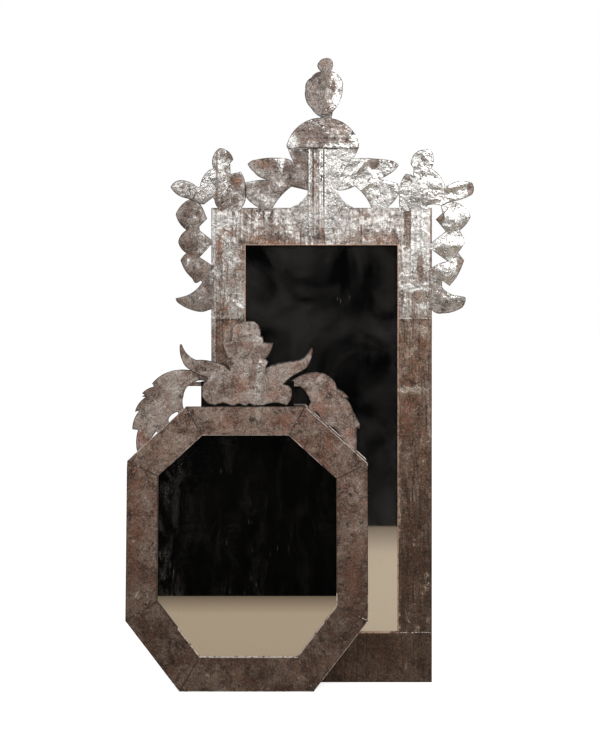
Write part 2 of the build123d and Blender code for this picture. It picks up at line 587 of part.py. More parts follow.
def octagon_solder():
    """A bead on each mitred seam of the face."""
    outer = inset(OCT_CORNERS, octagon_insets(0))
    inner = inset(OCT_CORNERS, strip_insets(0))
    return [bead(far, near, OCT_FACE) for far, near in zip(outer, inner)]


def octagon_sprigs():
    """One glazing sprig in the middle of each side."""
    wall = inset(OCT_CORNERS, strip_insets(TIN + OCT_REBATE))
    points = []
    for (x0, z0), (x1, z1) in zip(wall, wall[1:] + wall[:1]):
        length = hypot(x1 - x0, z1 - z0)
        towards = ((z1 - z0) / length, 0, (x0 - x1) / length)
        points.append(sprig((x0 + x1) / 2, OCT_BOARD_BACK, (z0 + z1) / 2, towards))
    return points


def octagon_crest():
    """The crest sheet, with a scalloped foot."""
    return prism(CREST_EDGE + CREST_FOOT, -BATTEN_DEPTH - TIN, TIN, z=OCT_HEIGHT)


def octagon_tab():
    """The hanging tab behind the batten, with a punched hole."""
    tab = block(-TAB_WIDTH / 2, TAB_WIDTH / 2, 0, TAB_SHEET, OCT_HEIGHT + TAB_BOTTOM, OCT_HEIGHT + TAB_TOP)
    tab = fillet(tab.edges().filter_by(Axis.Y).sort_by(Axis.Z)[-2:], TAB_WIDTH / 4)
    hole = Pos(0, TAB_SHEET / 2, OCT_HEIGHT + TAB_HOLE_RISE) * Rot(90, 0, 0) * Cylinder(TAB_HOLE / 2, STRAP)
    return tab - hole


def tall_nodes():
    """Every node of the tall mirror."""
    left = dict(x=-TALL_HALF, z=TALL_HEIGHT)
    right = dict(x=TALL_HALF, z=TALL_HEIGHT)
    strip_edge = TALL_HALF - EDGE_STRIP
    ornament = FACE - TIN
    return {
        "tall_stile_core_left": tall_stile_core(-1),
        "tall_stile_core_right": tall_stile_core(1),
        "tall_rail_core_top": tall_rail_core(OPENING_TOP + TIN, TALL_HEIGHT - TIN, OPENING_TOP, REBATE_TOP),
        "tall_rail_core_bottom": tall_rail_core(TIN, OPENING_BOTTOM - TIN, REBATE_BOTTOM, OPENING_BOTTOM),
        "tall_glass": tall_panel(GLASS_FRONT, GLASS_BACK),
        "tall_backboard": tall_panel(GLASS_BACK, BOARD_BACK),
        "tall_tin_left_upper": stile_tin(-1, SHEET_SEAM, TALL_HEIGHT, strip_edge, False, True),
        "tall_tin_left_lower": stile_tin(-1, OPENING_BOTTOM, SHEET_SEAM, strip_edge, False, False),
        "tall_tin_right_upper": stile_tin(1, SHEET_SEAM, TALL_HEIGHT, TALL_HALF, True, True),
        "tall_tin_right_lower": stile_tin(1, OPENING_BOTTOM, SHEET_SEAM, TALL_HALF, True, False),
        "tall_tin_top": tall_tin_top(),
        "tall_tin_bottom": tall_tin_bottom(),
        "tall_edge_strip": tall_edge_strip(),
        "tall_crest_wings": tall_wings(),
        "tall_crest_goblet": tall_goblet(),
        "tall_crest_dome": tall_dome(),
        "tall_crest_finial": tall_finial(),
        "tall_spray_left": prism(SPRAY_LEFT, ornament, TIN, **left),
        "tall_spray_right": prism(SPRAY_RIGHT, ornament, TIN, **right),
        "tall_garland_left": prism(GARLAND_LEFT, ornament, TIN, **left),
        "tall_garland_right": prism(GARLAND_RIGHT, ornament, TIN, **right),
        "tall_crest_straps": tall_crest_straps(),
        "tall_solder": tall_solder(),
        "tall_nails": [nail(*place) for place in side_nails()],
        "tall_sprigs": tall_sprigs(),
        "tall_hanger_strap_left": hanger_strap(-1),
        "tall_hanger_strap_right": hanger_strap(1),
        "tall_hanger_ring_left": hanger_ring(-1),
        "tall_hanger_ring_right": hanger_ring(1),
        "tall_hanger_screws": [screw(*place) for place in hanger_screws()],
    }


def octagon_nodes():
    """Every node of the octagonal mirror, still upright."""
    top = dict(z=OCT_HEIGHT)
    nodes = {}
    for side, name in enumerate(OCT_SIDES):
        nodes["octagon_core_" + name] = octagon_core(side)
        nodes["octagon_tin_" + name] = octagon_tin(side)
    panel = strip_insets(TIN + OCT_REBATE - CLEARANCE)
    nodes["octagon_glass"] = octagon_panel(panel, OCT_GLASS_FRONT, OCT_GLASS_BACK)
    nodes["octagon_backboard"] = octagon_panel(panel, OCT_GLASS_BACK, OCT_BOARD_BACK)
    nodes["octagon_crest"] = octagon_crest()
    nodes["octagon_leaf_left"] = prism(LEAF_LEFT, 0, TIN, **top)
    nodes["octagon_leaf_right"] = prism(LEAF_RIGHT, 0, TIN, **top)
    nodes["octagon_crest_batten"] = block(
        -BATTEN_HALF, BATTEN_HALF, -BATTEN_DEPTH, 0, OCT_HEIGHT, OCT_HEIGHT + BATTEN_HEIGHT)
    nodes["octagon_crest_strap"] = block(
        OCT_STRAP_LEFT, OCT_STRAP_RIGHT, TAB_SHEET, OCT_STRAP_BACK, STRAP_TOP - OCT_STRAP_WIDTH, STRAP_TOP)
    nodes["octagon_hanging_tab"] = octagon_tab()
    nodes["octagon_solder"] = octagon_solder()
    nodes["octagon_nails"] = [nail(*place) for place in octagon_nails()]
    nodes["octagon_sprigs"] = octagon_sprigs()
    return nodes


def main():
    """Write one STEP file for each node."""
    os.makedirs("parts", exist_ok=True)
    leaning = Pos(OCT_SIDEWAYS, OCT_FOOT_Y, 0) * Rot(-OCT_LEAN, 0, 0)
    groups = ((Pos(0, 0, 0), tall_nodes()), (leaning, octagon_nodes()))
    for place, nodes in groups:
        for name, shape in nodes.items():
            solids = [s for piece in (shape if isinstance(shape, list) else [shape]) for s in piece.solids()]
            whole = place * (solids[0] if len(solids) == 1 else Compound(solids))
            export_step(whole, "parts/" + name + ".step")


main()
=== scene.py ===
"""The looks of a set of two tin mirrors: a tall crested one and an octagonal one that leans on it.

Metres, +Z up, -Y towards the viewer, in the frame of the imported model.
"""
from math import atan, cos, exp, hypot, pi, radians, sin

import bpy
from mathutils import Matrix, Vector, kdtree, noise


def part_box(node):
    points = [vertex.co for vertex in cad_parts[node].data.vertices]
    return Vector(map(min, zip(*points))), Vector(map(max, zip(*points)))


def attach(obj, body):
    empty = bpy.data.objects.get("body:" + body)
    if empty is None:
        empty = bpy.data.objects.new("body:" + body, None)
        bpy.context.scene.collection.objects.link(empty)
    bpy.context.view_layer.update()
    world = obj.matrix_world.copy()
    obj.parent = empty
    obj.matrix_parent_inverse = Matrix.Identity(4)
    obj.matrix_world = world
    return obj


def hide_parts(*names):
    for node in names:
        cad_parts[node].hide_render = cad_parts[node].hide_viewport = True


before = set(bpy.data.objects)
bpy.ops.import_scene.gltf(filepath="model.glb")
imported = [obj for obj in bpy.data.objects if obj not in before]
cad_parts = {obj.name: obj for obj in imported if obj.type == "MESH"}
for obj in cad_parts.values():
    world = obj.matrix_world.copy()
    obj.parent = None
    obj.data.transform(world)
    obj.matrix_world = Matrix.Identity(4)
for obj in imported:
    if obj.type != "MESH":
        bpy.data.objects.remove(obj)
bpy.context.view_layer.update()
MM = 0.001
TIN = 0.8 * MM

# Places that the tin work is laid out from
TALL_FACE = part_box("tall_tin_bottom")[0].y
TALL_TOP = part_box("tall_tin_top")[1].z
TALL_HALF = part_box("tall_tin_bottom")[1].x
OPENING_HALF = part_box("tall_tin_top")[1].x
OPENING_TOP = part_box("tall_tin_top")[0].z
OPENING_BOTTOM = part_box("tall_tin_bottom")[1].z
DOME_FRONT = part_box("tall_crest_dome")[0].y
DOME_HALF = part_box("tall_crest_dome")[1].x
DOME_BOW = TALL_FACE - TIN - DOME_FRONT
DOME_RADIUS = (DOME_HALF ** 2 + DOME_BOW ** 2) / (2 * DOME_BOW)
OCT_SIDES = ("top", "upper_right", "right", "lower_right",
             "bottom", "lower_left", "left", "upper_left")
OCT_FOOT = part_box("octagon_tin_bottom")[0].y
OCT_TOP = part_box("octagon_tin_top")[1].z
OCT_LEAN = atan((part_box("octagon_tin_top")[0].y - OCT_FOOT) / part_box("octagon_tin_top")[0].z)
OCT_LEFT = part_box("octagon_tin_left")[0].x
OCT_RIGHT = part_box("octagon_tin_right")[1].x
OCT_MIDDLE = Vector(((OCT_LEFT + OCT_RIGHT) / 2, 0, OCT_TOP / 2))

# How the sheets are worked
MERGE = 0.01 * MM  # points of a solid that are one
CUT = 0.001 * MM  # how near a cut counts as on a point
BEND_START, BEND_END = 0.9 * MM, 2.4 * MM  # how far behind the face work on a sheet dies out
SHEET_RIM = 4 * MM  # how far the bright or dark of a fold reaches over a frame sheet
ORNAMENT_RIM = 6.2 * MM  # how far that of a cut edge reaches over an ornament
GOBLET_RIM = 3.8 * MM  # and over the goblet
BROAD, FRAME_SMALL, CUT_SMALL = 44 * MM, 15 * MM, 16 * MM  # sizes of the dents
CUT_BACK = 1.6 * MM  # how far a cut edge is turned back
MARK_END = 6  # squared reach past which a mark is nothing

# The studio
EYE = (-0.069, TALL_FACE - 3.8, 1.30)
FLOOR_DIMS_AT = -1.75  # places along Y
DARK_WALL = -2.36
DARK_SIDE = -2.3


def behind_tall(place):
    """How far a place lies behind the tall mirror's face."""
    return place.y - TALL_FACE


def behind_octagon(place):
    """How far a place lies behind the octagonal mirror's leaning face."""
    return (place.y - OCT_FOOT) * cos(OCT_LEAN) - place.z * sin(OCT_LEAN)


# ---- handling of pieces --------------------------------------

def only(piece):
    """Leave just this piece selected and active, in object mode."""
    bpy.ops.object.select_all(action="DESELECT")
    piece.select_set(True)
    bpy.context.view_layer.objects.active = piece


def hang(piece, body, material, node):
    """Hang a finished piece on its body, with its finish and the node that it stands for."""
    piece.data.materials.clear()
    piece.data.materials.append(material)
    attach(piece, body)
    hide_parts(node)


def refinish(node, material):
    """Give a node that keeps its own mesh its finish."""
    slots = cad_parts[node].data.materials
    slots.clear()
    slots.append(material)


def copy_of(node, lay=None):
    """A merged copy of a CAD node's mesh, laid flat first if a rule for that is given."""
    piece = bpy.data.objects.new(node + "_worked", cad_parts[node].data.copy())
    bpy.context.scene.collection.objects.link(piece)
    if lay:
        lay(piece)
    only(piece)
    bpy.ops.object.mode_set(mode="EDIT")
    bpy.ops.mesh.select_all(action="SELECT")
    bpy.ops.mesh.remove_doubles(threshold=MERGE)
    bpy.ops.mesh.dissolve_limited(angle_limit=radians(0.5))
    if not lay:
        bpy.ops.mesh.quads_convert_to_tris(quad_method="BEAUTY", ngon_method="BEAUTY")
    bpy.ops.object.mode_set(mode="OBJECT")
    bpy.ops.mesh.customdata_custom_splitnormals_clear()
    return piece


def cut_net(piece, pitch):
    """Cut a piece along even planes across X and Z, so that it can be dented and bent."""
    corners = [Vector(c) for c in piece.bound_box]
    only(piece)
    bpy.ops.object.mode_set(mode="EDIT")
    for k in (0, 2):
        low, high = min(c[k] for c in corners), max(c[k] for c in corners)
        steps = max(1, round((high - low) / pitch))
        normal = [float(i == k) for i in range(3)]
        for i in range(1, steps):
            point = [0.0, 0.0, 0.0]
            point[k] = low + (high - low) * i / steps
            bpy.ops.mesh.select_all(action="SELECT")
            bpy.ops.mesh.bisect(plane_co=point, plane_no=normal, threshold=CUT)
    bpy.ops.object.mode_set(mode="OBJECT")
    return piece


def dent(piece, depth, size, direction="Y", middle=0.5, hard=False):
    """Beat low dents into a piece with a displacement that follows a noise."""
    texture = bpy.data.textures.new(piece.name + "_dents", "CLOUDS")
    texture.noise_scale = size
    texture.noise_depth = 1
    texture.noise_type = "HARD_NOISE" if hard else "SOFT_NOISE"
    only(piece)
    modifier = piece.modifiers.new("dents", "DISPLACE")
    modifier.texture = texture
    modifier.texture_coords = "LOCAL"
    modifier.direction = direction
    modifier.mid_level = middle
    modifier.strength = depth
    if "loose" in piece.vertex_groups:
        modifier.vertex_group = "loose"
    bpy.ops.object.modifier_apply(modifier=modifier.name)


def press(piece, rule):
    """Move every point of a piece forward, along -Y, by what a rule of its place says."""
    for vertex in piece.data.vertices:
        vertex.co.y -= rule(vertex.co)


def loosen(piece, rule):
    """Say how free each point is to move, from 0 where it is held to 1 where it is free."""
    group = piece.vertex_groups.new(name="loose")
    for vertex in piece.data.vertices:
        group.add([vertex.index], min(1.0, max(0.0, rule(vertex.co))), "REPLACE")


def step(low, high, value):
    """Smooth rise from 0 at low to 1 at high."""
    t = min(1.0, max(0.0, (value - low) / (high - low)))
    return t * t * (3 - 2 * t)


def away(place, a, b):
    """Distance from a place on the face to the straight line between two others, all as (x, z)."""
    dx, dz = b[0] - a[0], b[1] - a[1]
    t = min(1.0, max(0.0, ((place.x - a[0]) * dx + (place.z - a[1]) * dz) / (dx * dx + dz * dz)))
    return hypot(place.x - a[0] - t * dx, place.z - a[1] - t * dz)


def ridge(place, a, b, height, width):
    """A rounded ridge along a line, or a groove where its height is below nothing."""
    return height * exp(-(away(place, a, b) / width) ** 2)


def ripple(place, across, up, seed=0.0):
    """Uneven waves, from about -1 to 1, of a width across and a height up."""
    return noise.noise(Vector((place.x / across, seed, place.z / up)))


def rim_of(piece, reach, counts=None, mark="rim"):
    """Mark how near each point is to an edge that counts: 1 on it, 0 at reach from it."""
    mesh = piece.data
    on_edge = set()
    for polygon in mesh.polygons:
        sideways = abs(polygon.normal.y) < 0.5
        if sideways and (counts is None or counts(polygon.center, polygon.normal)):
            on_edge.update(polygon.vertices)
    tree = kdtree.KDTree(max(1, len(on_edge)))
    for index in on_edge:
        tree.insert(mesh.vertices[index].co, index)
    tree.balance()
    rim = mesh.attributes.new(mark, "FLOAT", "POINT")
    for vertex in mesh.vertices:
        distance = tree.find(vertex.co)[2] if on_edge else reach
        rim.data[vertex.index].value = max(0.0, 1.0 - distance / reach)


def mark_stains_and_light(piece, node):
    """Mark where a piece is paler, painted highlights and shade among the pale marks, and where it
    is rustier, by the table.
    """
    for kind in ("pale", "rust"):
        spots = MARKS.get(node, {}).get(kind, ())
        layer = piece.data.attributes.new(kind, "FLOAT", "POINT")
        for vertex in piece.data.vertices:
            total = 0.0
            for x, z, wide, high, strength in spots:
                reach = ((vertex.co.x - x) / wide) ** 2 + ((vertex.co.z - z) / high) ** 2
                if reach < MARK_END:
                    total += strength * exp(-reach)
            layer.data[vertex.index].value = total


def smooth(piece, angle=35):
    """Shade a piece smooth, but for edges sharper than an angle."""
    only(piece)
    bpy.ops.object.shade_smooth_by_angle(angle=radians(angle))
    return piece


# ---- materials -----------------------------------------------

def level(value):
    """A plain number as the colour that a blend works on."""
    return (value, value, value, 1.0)


def tone(red, green, blue):
    """A colour as it is seen on a screen, 0 to 255, in the renderer's linear values."""
    def linear(value):
        value /= 255
        return value / 12.92 if value <= 0.04045 else ((value + 0.055) / 1.055) ** 2.4
    return (linear(red), linear(green), linear(blue), 1.0)


class Finish:
    """A material under construction, with short calls for the nodes that it uses."""

    def __init__(self, name):
        self.material = bpy.data.materials.new(name)
        self.material.use_nodes = True
        self.nodes = self.material.node_tree.nodes
        self.links = self.material.node_tree.links
        self.surface = self.nodes["Principled BSDF"]
        self.place = self.nodes.new("ShaderNodeTexCoord").outputs["Object"]

    def join(self, value, socket):
        if isinstance(value, bpy.types.NodeSocket):
            self.links.new(value, socket)
        else:
            socket.default_value = value

    def stretched(self, x, y, z, turn=0.0):
        node = self.nodes.new("ShaderNodeMapping")
        node.inputs["Scale"].default_value = (x, y, z)
        node.inputs["Rotation"].default_value = (0, turn, 0)
        self.links.new(self.place, node.inputs["Vector"])
        return node.outputs["Vector"]

    def noise(self, scale, detail=3.0, rough=0.55, twist=0.0, where=None):
        """A noise with scale waves to the metre."""
        node = self.nodes.new("ShaderNodeTexNoise")
        node.inputs["Scale"].default_value = scale
        node.inputs["Detail"].default_value = detail
        node.inputs["Roughness"].default_value = rough
        node.inputs["Distortion"].default_value = twist
        self.links.new(where or self.place, node.inputs["Vector"])
        return node.outputs["Fac"]

    def warped(self, scale, amount):
        """Places pushed about by a noise, so that what is laid over them curves."""
        push = self.nodes.new("ShaderNodeTexNoise")
        push.inputs["Scale"].default_value = scale
        push.inputs["Detail"].default_value = 2.0
        self.links.new(self.place, push.inputs["Vector"])
        node = self.nodes.new("ShaderNodeVectorMath")
        node.operation = "MULTIPLY_ADD"
        self.links.new(push.outputs["Color"], node.inputs[0])
        node.inputs[1].default_value = (amount, amount, amount)
        self.links.new(self.place, node.inputs[2])
        return node.outputs["Vector"]

    def cells(self, scale, feature, where):
        node = self.nodes.new("ShaderNodeTexVoronoi")
        node.feature = feature
        node.inputs["Scale"].default_value = scale
        self.links.new(where, node.inputs["Vector"])
        return node.outputs["Distance"]

    def ramp(self, value, low, high, start=0.0, end=1.0):
        """Smooth change from start, where a value is at low, to end at high."""
        node = self.nodes.new("ShaderNodeMapRange")
        node.interpolation_type = "SMOOTHSTEP"
        node.inputs["From Min"].default_value = low
        node.inputs["From Max"].default_value = high
        node.inputs["To Min"].default_value = start
        node.inputs["To Max"].default_value = end
        self.links.new(value, node.inputs["Value"])
        return node.outputs["Result"]

    def math(self, operation, a, b, clamp=False):
        node = self.nodes.new("ShaderNodeMath")
        node.operation = operation
        node.use_clamp = clamp
        self.join(a, node.inputs[0])
        self.join(b, node.inputs[1])
        return node.outputs[0]

    def times(self, a, b, clamp=False):
        return self.math("MULTIPLY", a, b, clamp)

    def plus(self, a, b, clamp=False):
        return self.math("ADD", a, b, clamp)

    def minus(self, a, b, clamp=False):
        return self.math("SUBTRACT", a, b, clamp)

    def most(self, a, b):
        return self.math("MAXIMUM", a, b)

    def blend(self, share, a, b):
        """The colour a where the share is 0, b where it is 1."""
        node = self.nodes.new("ShaderNodeMix")
        node.data_type = "RGBA"
        self.join(share, node.inputs[0])
        self.join(a, node.inputs[6])
        self.join(b, node.inputs[7])
        return node.outputs[2]

    def marked(self, name):
        node = self.nodes.new("ShaderNodeAttribute")
        node.attribute_name = name
        return node.outputs["Fac"]

    def along(self, axis):
        node = self.nodes.new("ShaderNodeSeparateXYZ")
        self.links.new(self.place, node.inputs[0])
        return node.outputs[axis]

    def relief(self, height, distance, strength, below=None):
        node = self.nodes.new("ShaderNodeBump")
        node.inputs["Strength"].default_value = strength
        node.inputs["Distance"].default_value = distance
        self.links.new(height, node.inputs["Height"])
        if below:
            self.links.new(below, node.inputs["Normal"])
        return node.outputs["Normal"]

    def done(self, colour, rough, metallic, normal=None):
        self.join(colour, self.surface.inputs["Base Color"])
        self.join(rough, self.surface.inputs["Roughness"])
        self.join(metallic, self.surface.inputs["Metallic"])
        if normal:
            self.links.new(normal, self.surface.inputs["Normal"])
        return self.material


def worn_tin(name, oxide, grey, bare, rust, dark, worn, rusty, crinkle, drawn=0.0, cloudy=1.0,
             gleam=0.24, grime_and_shade=None, lipped=tone(208, 174, 152), stark=1.0, speckled=0.2,
             coarse=0.6, patchy=0.0):
    """Old sheet tin: clouds of brown oxide, rubbed through to bright metal, dark at its edges,
    partly as painted shade.

    worn says how much is rubbed through, rusty how much has rusted, crinkle how deep it is creased
    and drawn how streaked it is. grime_and_shade is (share, top, foot) of a band that darkens
    downwards, partly grime, partly painted shade for light falling off low down, and stark says how
    far a pale mark (worn tin and painted highlight alike) rubs through, rather than only lightens.
    """
    f = Finish(name)
    cloud = f.noise(12.0, 4.0, 0.62, 0.5)
    mottle = f.noise(54.0, 7.0, 0.76, 0.8)
    grain = f.noise(205.0, 4.0, 0.7)
    streaks = f.noise(1.0, 5.0, 0.66, 0.4, f.stretched(100, 100, 7)) if drawn else mottle
    broken = f.noise(85.0, 3.0, 0.6)

    # Where it is rubbed through, specked, rusted, flecked dark, hollow and creased
    through = f.plus(f.times(cloud, 0.28), f.times(mottle, 0.46))
    through = f.plus(through, f.times(grain, 0.26))
    if drawn:
        through = f.plus(through, f.times(f.minus(streaks, 0.5), 0.35 * drawn))
    through = f.plus(through, f.times(f.marked("pale"), 0.15 * stark))
    through = f.ramp(through, 0.585 - worn, 0.67 - worn)
    specks = f.times(f.ramp(f.noise(190.0, 4.0, 0.75), 0.53, 0.63), speckled)
    rusted = f.plus(f.noise(18.0, 6.0, 0.7, 1.0), f.times(f.marked("rust"), 0.17))
    rusted = f.times(f.ramp(rusted, 0.56 - rusty, 0.78 - rusty), 0.8)
    more, fewer = 0.03 * crinkle, 0.04 * stark
    flecks = f.ramp(f.noise(125.0, 6.0, 0.78, 1.5), 0.585 - more, 0.635 - more)
    hollow = f.ramp(f.noise(26.0, 5.0, 0.7, 0.8), 0.5 + fewer, 0.62 + fewer, 0.0, 0.8)
    crease = f.ramp(f.cells(30.0, "DISTANCE_TO_EDGE", f.warped(26.0, 0.03)), 0.035, 0.0)
    crease = f.times(crease, f.ramp(f.noise(22.0, 3.0, 0.6), 0.47, 0.56))

    # One over the other, from the oxide to the edges
    colour = f.blend(f.ramp(cloud, 0.5 - 0.1 / cloudy, 0.5 + 0.1 / cloudy), oxide, grey)
    lighter = f.times(f.marked("pale"), 0.45 * (1 - stark), clamp=True)
    colour = f.blend(lighter, colour, bare)
    if patchy:
        colour = f.blend(f.times(f.ramp(mottle, 0.45, 0.62), patchy), colour, bare)
    colour = f.blend(f.times(f.ramp(grain, 0.45, 0.58), coarse), colour, dark)
    colour = f.blend(f.times(hollow, min(1.0, cloudy)), colour, dark)
    if drawn:
        shade = f.times(f.ramp(streaks, 0.48, 0.36), 0.75 * drawn, clamp=True)
        colour = f.blend(shade, colour, dark)
    colour = f.blend(f.times(rusted, f.ramp(grain, 0.64, 0.42)), colour, rust)
    # Darker, with fewer bright specks, towards the foot: partly grime, partly painted shade for the
    # light that falls off lower down.
    if grime_and_shade:
        share, high, low = grime_and_shade
        colour = f.blend(f.ramp(f.along("Z"), high, low, 0.0, share), colour, dark)
        specks = f.times(specks, f.ramp(f.along("Z"), high, low, 1.0, 1.0 - share))
    colour = f.blend(specks, colour, bare)
    colour = f.blend(through, colour, bare)
    colour = f.blend(f.times(flecks, 0.85), colour, dark)
    colour = f.blend(f.times(crease, min(0.85, crinkle)), colour, dark)
    # A pale lip along marked folds: on the octagon a painted highlight where its folds catch the
    # light, round the tall opening worn pale tin.
    lip = f.times(f.ramp(f.marked("lip"), 0.35, 0.75), f.ramp(broken, 0.36, 0.5))
    colour = f.blend(lip, colour, lipped)
    # Darkened folds and cut edges: partly dark oxide, partly painted shade.
    edge = f.times(f.ramp(f.marked("rim"), 0.42, 0.74), f.ramp(broken, 0.4, 0.52, 0.45, 1.0))
    edge = f.minus(edge, lip, clamp=True)
    colour = f.blend(f.times(edge, 0.88), colour, dark)

    dull = f.most(f.most(rusted, flecks), edge)
    rough = f.blend(through, level(0.52), level(gleam))
    metallic = f.blend(through, level(0.45), level(0.9))
    metallic = f.blend(dull, metallic, level(0.1))
    normal = f.relief(f.noise(24.0, 3.0, 0.58, 0.6), 5.5 * MM * crinkle, 0.9)
    normal = f.relief(crease, -1.2 * MM * crinkle, 0.9, normal)
    if drawn:
        normal = f.relief(streaks, 4.5 * MM * drawn, 0.9, normal)
    normal = f.relief(f.noise(140.0, 5.0, 0.72, 0.5), 2.6 * MM * coarse, 0.9, normal)
    return f.done(colour, rough, metallic, normal)


def solder_finish(name, bright, dull, dark, cover):
    """Solder laid on in bright drops under a brown bloom, with dark pits between them."""
    f = Finish(name)
    bloom = f.ramp(f.noise(30.0, 4.0, 0.65), 0.6 - cover, 0.68 - cover)
    drops = f.ramp(f.noise(150.0, 3.0, 0.6), 0.47, 0.56)
    colour = f.blend(bloom, bright, dull)
    colour = f.blend(drops, dark, colour)
    rough = f.ramp(f.noise(220.0, 2.0), 0.3, 0.7, 0.3, 0.55)
    metallic = f.times(f.ramp(bloom, 0, 1, 0.85, 0.35), drops)
    return f.done(colour, rough, metallic, f.relief(f.noise(160.0, 3.0), 1.0 * MM, 0.9))


def old_wood(name, light, dark, along, sheen=0.4):
    """Planed softwood gone brown, its grain along one axis."""
    f = Finish(name)
    f.surface.inputs["Specular IOR Level"].default_value = sheen
    stretch = [60.0, 60.0, 60.0]
    stretch["XYZ".index(along)] = 3.0
    grain = f.noise(1.0, 5.0, 0.6, 0.6, f.stretched(*stretch))
    stretch = [260.0, 260.0, 260.0]
    stretch["XYZ".index(along)] = 9.0
    pores = f.noise(1.0, 2.0, 0.5, 0.0, f.stretched(*stretch))
    colour = f.blend(f.ramp(grain, 0.35, 0.65), light, dark)
    colour = f.blend(f.times(f.ramp(pores, 0.55, 0.7), 0.6), colour, dark)
    colour = f.blend(f.times(f.ramp(f.noise(9.0, 4.0), 0.5, 0.7), 0.5), colour, dark)
    return f.done(colour, f.ramp(grain, 0.3, 0.7, 0.68, 0.85), 0.0, f.relief(pores, 0.4 * MM, 0.7))


def iron_finish():
    """Rusty wrought iron."""
    f = Finish("rusty_iron")
    rust = f.ramp(f.noise(110.0, 6.0, 0.7), 0.42, 0.62)
    colour = f.blend(rust, tone(70, 62, 58), tone(104, 66, 44))
    rough = f.ramp(rust, 0.0, 1.0, 0.45, 0.8)
    metallic = f.ramp(rust, 0.0, 1.0, 0.8, 0.15)
    return f.done(colour, rough, metallic, f.relief(f.noise(420.0, 3.0), 0.3 * MM, 0.8))


def old_mirror(name, silver, haze, clear_at, hazy_at, veiled):
    """Aged mirror glass: warm silver, foxed and dusty towards one side, a little scratched."""
    f = Finish(name)
    fox = f.ramp(f.noise(34.0, 8.0, 0.78, 0.6), 0.7, 0.79)
    side = f.ramp(f.along("X"), clear_at, hazy_at)
    dust = f.ramp(f.noise(380.0, 4.0, 0.75), 0.5, 0.66)
    smear = f.ramp(f.noise(1.0, 5.0, 0.72, 0.8, f.stretched(22, 22, 7)), 0.44, 0.72)
    veil = f.times(f.times(dust, smear), f.ramp(side, 0, 1, haze * 0.12, haze))
    film = f.times(f.ramp(f.noise(5.0, 4.0, 0.6, 0.6), 0.35, 0.68), veiled)
    scratch = f.ramp(f.cells(1.0, "F1", f.stretched(230, 1, 11, radians(38))), 0.12, 0.05)
    scratch = f.times(scratch, f.ramp(f.noise(7.0, 2.0), 0.6, 0.66))
    speck = f.ramp(f.noise(330.0, 2.0, 0.6), 0.72, 0.78)
    marks = f.times(f.most(scratch, speck), 0.3)
    veil = f.plus(f.plus(veil, film), marks, clamp=True)
    colour = f.blend(f.times(fox, 0.75), silver, tone(52, 42, 36))
    colour = f.blend(veil, colour, tone(160, 166, 170))
    metallic = f.minus(1.0, veil, clamp=True)
    rough = f.plus(0.012, f.times(veil, 0.45), clamp=True)
    return f.done(colour, rough, metallic)


RUST = tone(158, 110, 84)
# The upper sheets' and the crests' finishes are paler than the lower sheets' and the octagon
# strips': partly the tin's own colour, partly painted light for the light that falls off lower
# down.
FRAME_TIN = worn_tin(
    "tall_frame_tin", oxide=tone(111, 80, 61), grey=tone(155, 130, 114), bare=tone(216, 201, 189),
    rust=tone(148, 91, 65), dark=tone(40, 27, 19), worn=0.022, rusty=0.07, crinkle=0.55,
    drawn=1.15, cloudy=0.95, grime_and_shade=(0.66, 1.2, 0.2), stark=0.6, speckled=0.36, coarse=0.56,
    patchy=0.1)
UPPER_TIN = worn_tin(
    "tall_upper_tin", oxide=tone(150, 128, 115), grey=tone(186, 173, 164), bare=tone(238, 234, 230),
    rust=RUST, dark=tone(56, 41, 34), worn=0.1, rusty=0.03, crinkle=0.8, drawn=0.7, gleam=0.28,
    stark=0.6, speckled=0.35)
CREST_TIN = worn_tin(
    "crest_tin", oxide=tone(136, 118, 109), grey=tone(178, 168, 161), bare=tone(229, 226, 222),
    rust=RUST, dark=tone(52, 40, 35), worn=0.095, rusty=0.015, crinkle=0.95, stark=0.9)
# Its near-white lip colour is the painted highlight on the octagon's folds that catch the light.
OCTAGON_TIN = worn_tin(
    "octagon_tin", oxide=tone(104, 73, 59), grey=tone(152, 131, 119), bare=tone(216, 200, 187),
    rust=tone(136, 84, 64), dark=tone(38, 26, 19), worn=0.012, rusty=0.09, crinkle=0.5,
    cloudy=1.15, gleam=0.3, grime_and_shade=(0.53, 0.88, 0.12), lipped=tone(222, 213, 205), stark=0.35,
    speckled=0.3, coarse=0.56, patchy=0.3)
OCTAGON_CREST_TIN = worn_tin(
    "octagon_crest_tin", oxide=tone(122, 95, 82), grey=tone(178, 163, 153),
    bare=tone(226, 218, 211), rust=tone(152, 100, 79), dark=tone(44, 32, 26), worn=0.04,
    rusty=0.07, crinkle=0.65, cloudy=1.2, stark=0.6, speckled=0.34, coarse=0.48, patchy=0.32)
SOLDER = solder_finish("lead_solder", tone(214, 207, 200), tone(138, 118, 105), tone(60, 46, 39),
                       cover=0.06)
DULL_SOLDER = solder_finish("dull_solder", tone(192, 180, 168), tone(74, 56, 46), tone(44, 32, 26),
                            cover=0.2)
IRON = iron_finish()
UPRIGHT_WOOD = old_wood("upright_pine", tone(150, 116, 82), tone(104, 76, 52), "Z")
RAIL_WOOD = old_wood("rail_pine", tone(150, 116, 82), tone(104, 76, 52), "X")
# Near-black wood, for the batten behind the octagon's crest.
DARK_WOOD = old_wood("near_black_batten", tone(20, 16, 13), tone(10, 8, 7), "X", sheen=0.05)
BOARD = old_wood("backing_board", tone(126, 100, 74), tone(92, 70, 51), "Z")
TALL_MIRROR = old_mirror("tall_mirror_glass", (0.75, 0.73, 0.7, 1), haze=0.06,
                         clear_at=-0.1, hazy_at=0.24, veiled=0.035)
OCTAGON_MIRROR = old_mirror("octagon_mirror_glass", (0.62, 0.58, 0.53, 1), haze=0.55,
                            clear_at=-0.36, hazy_at=-0.53, veiled=0.002)
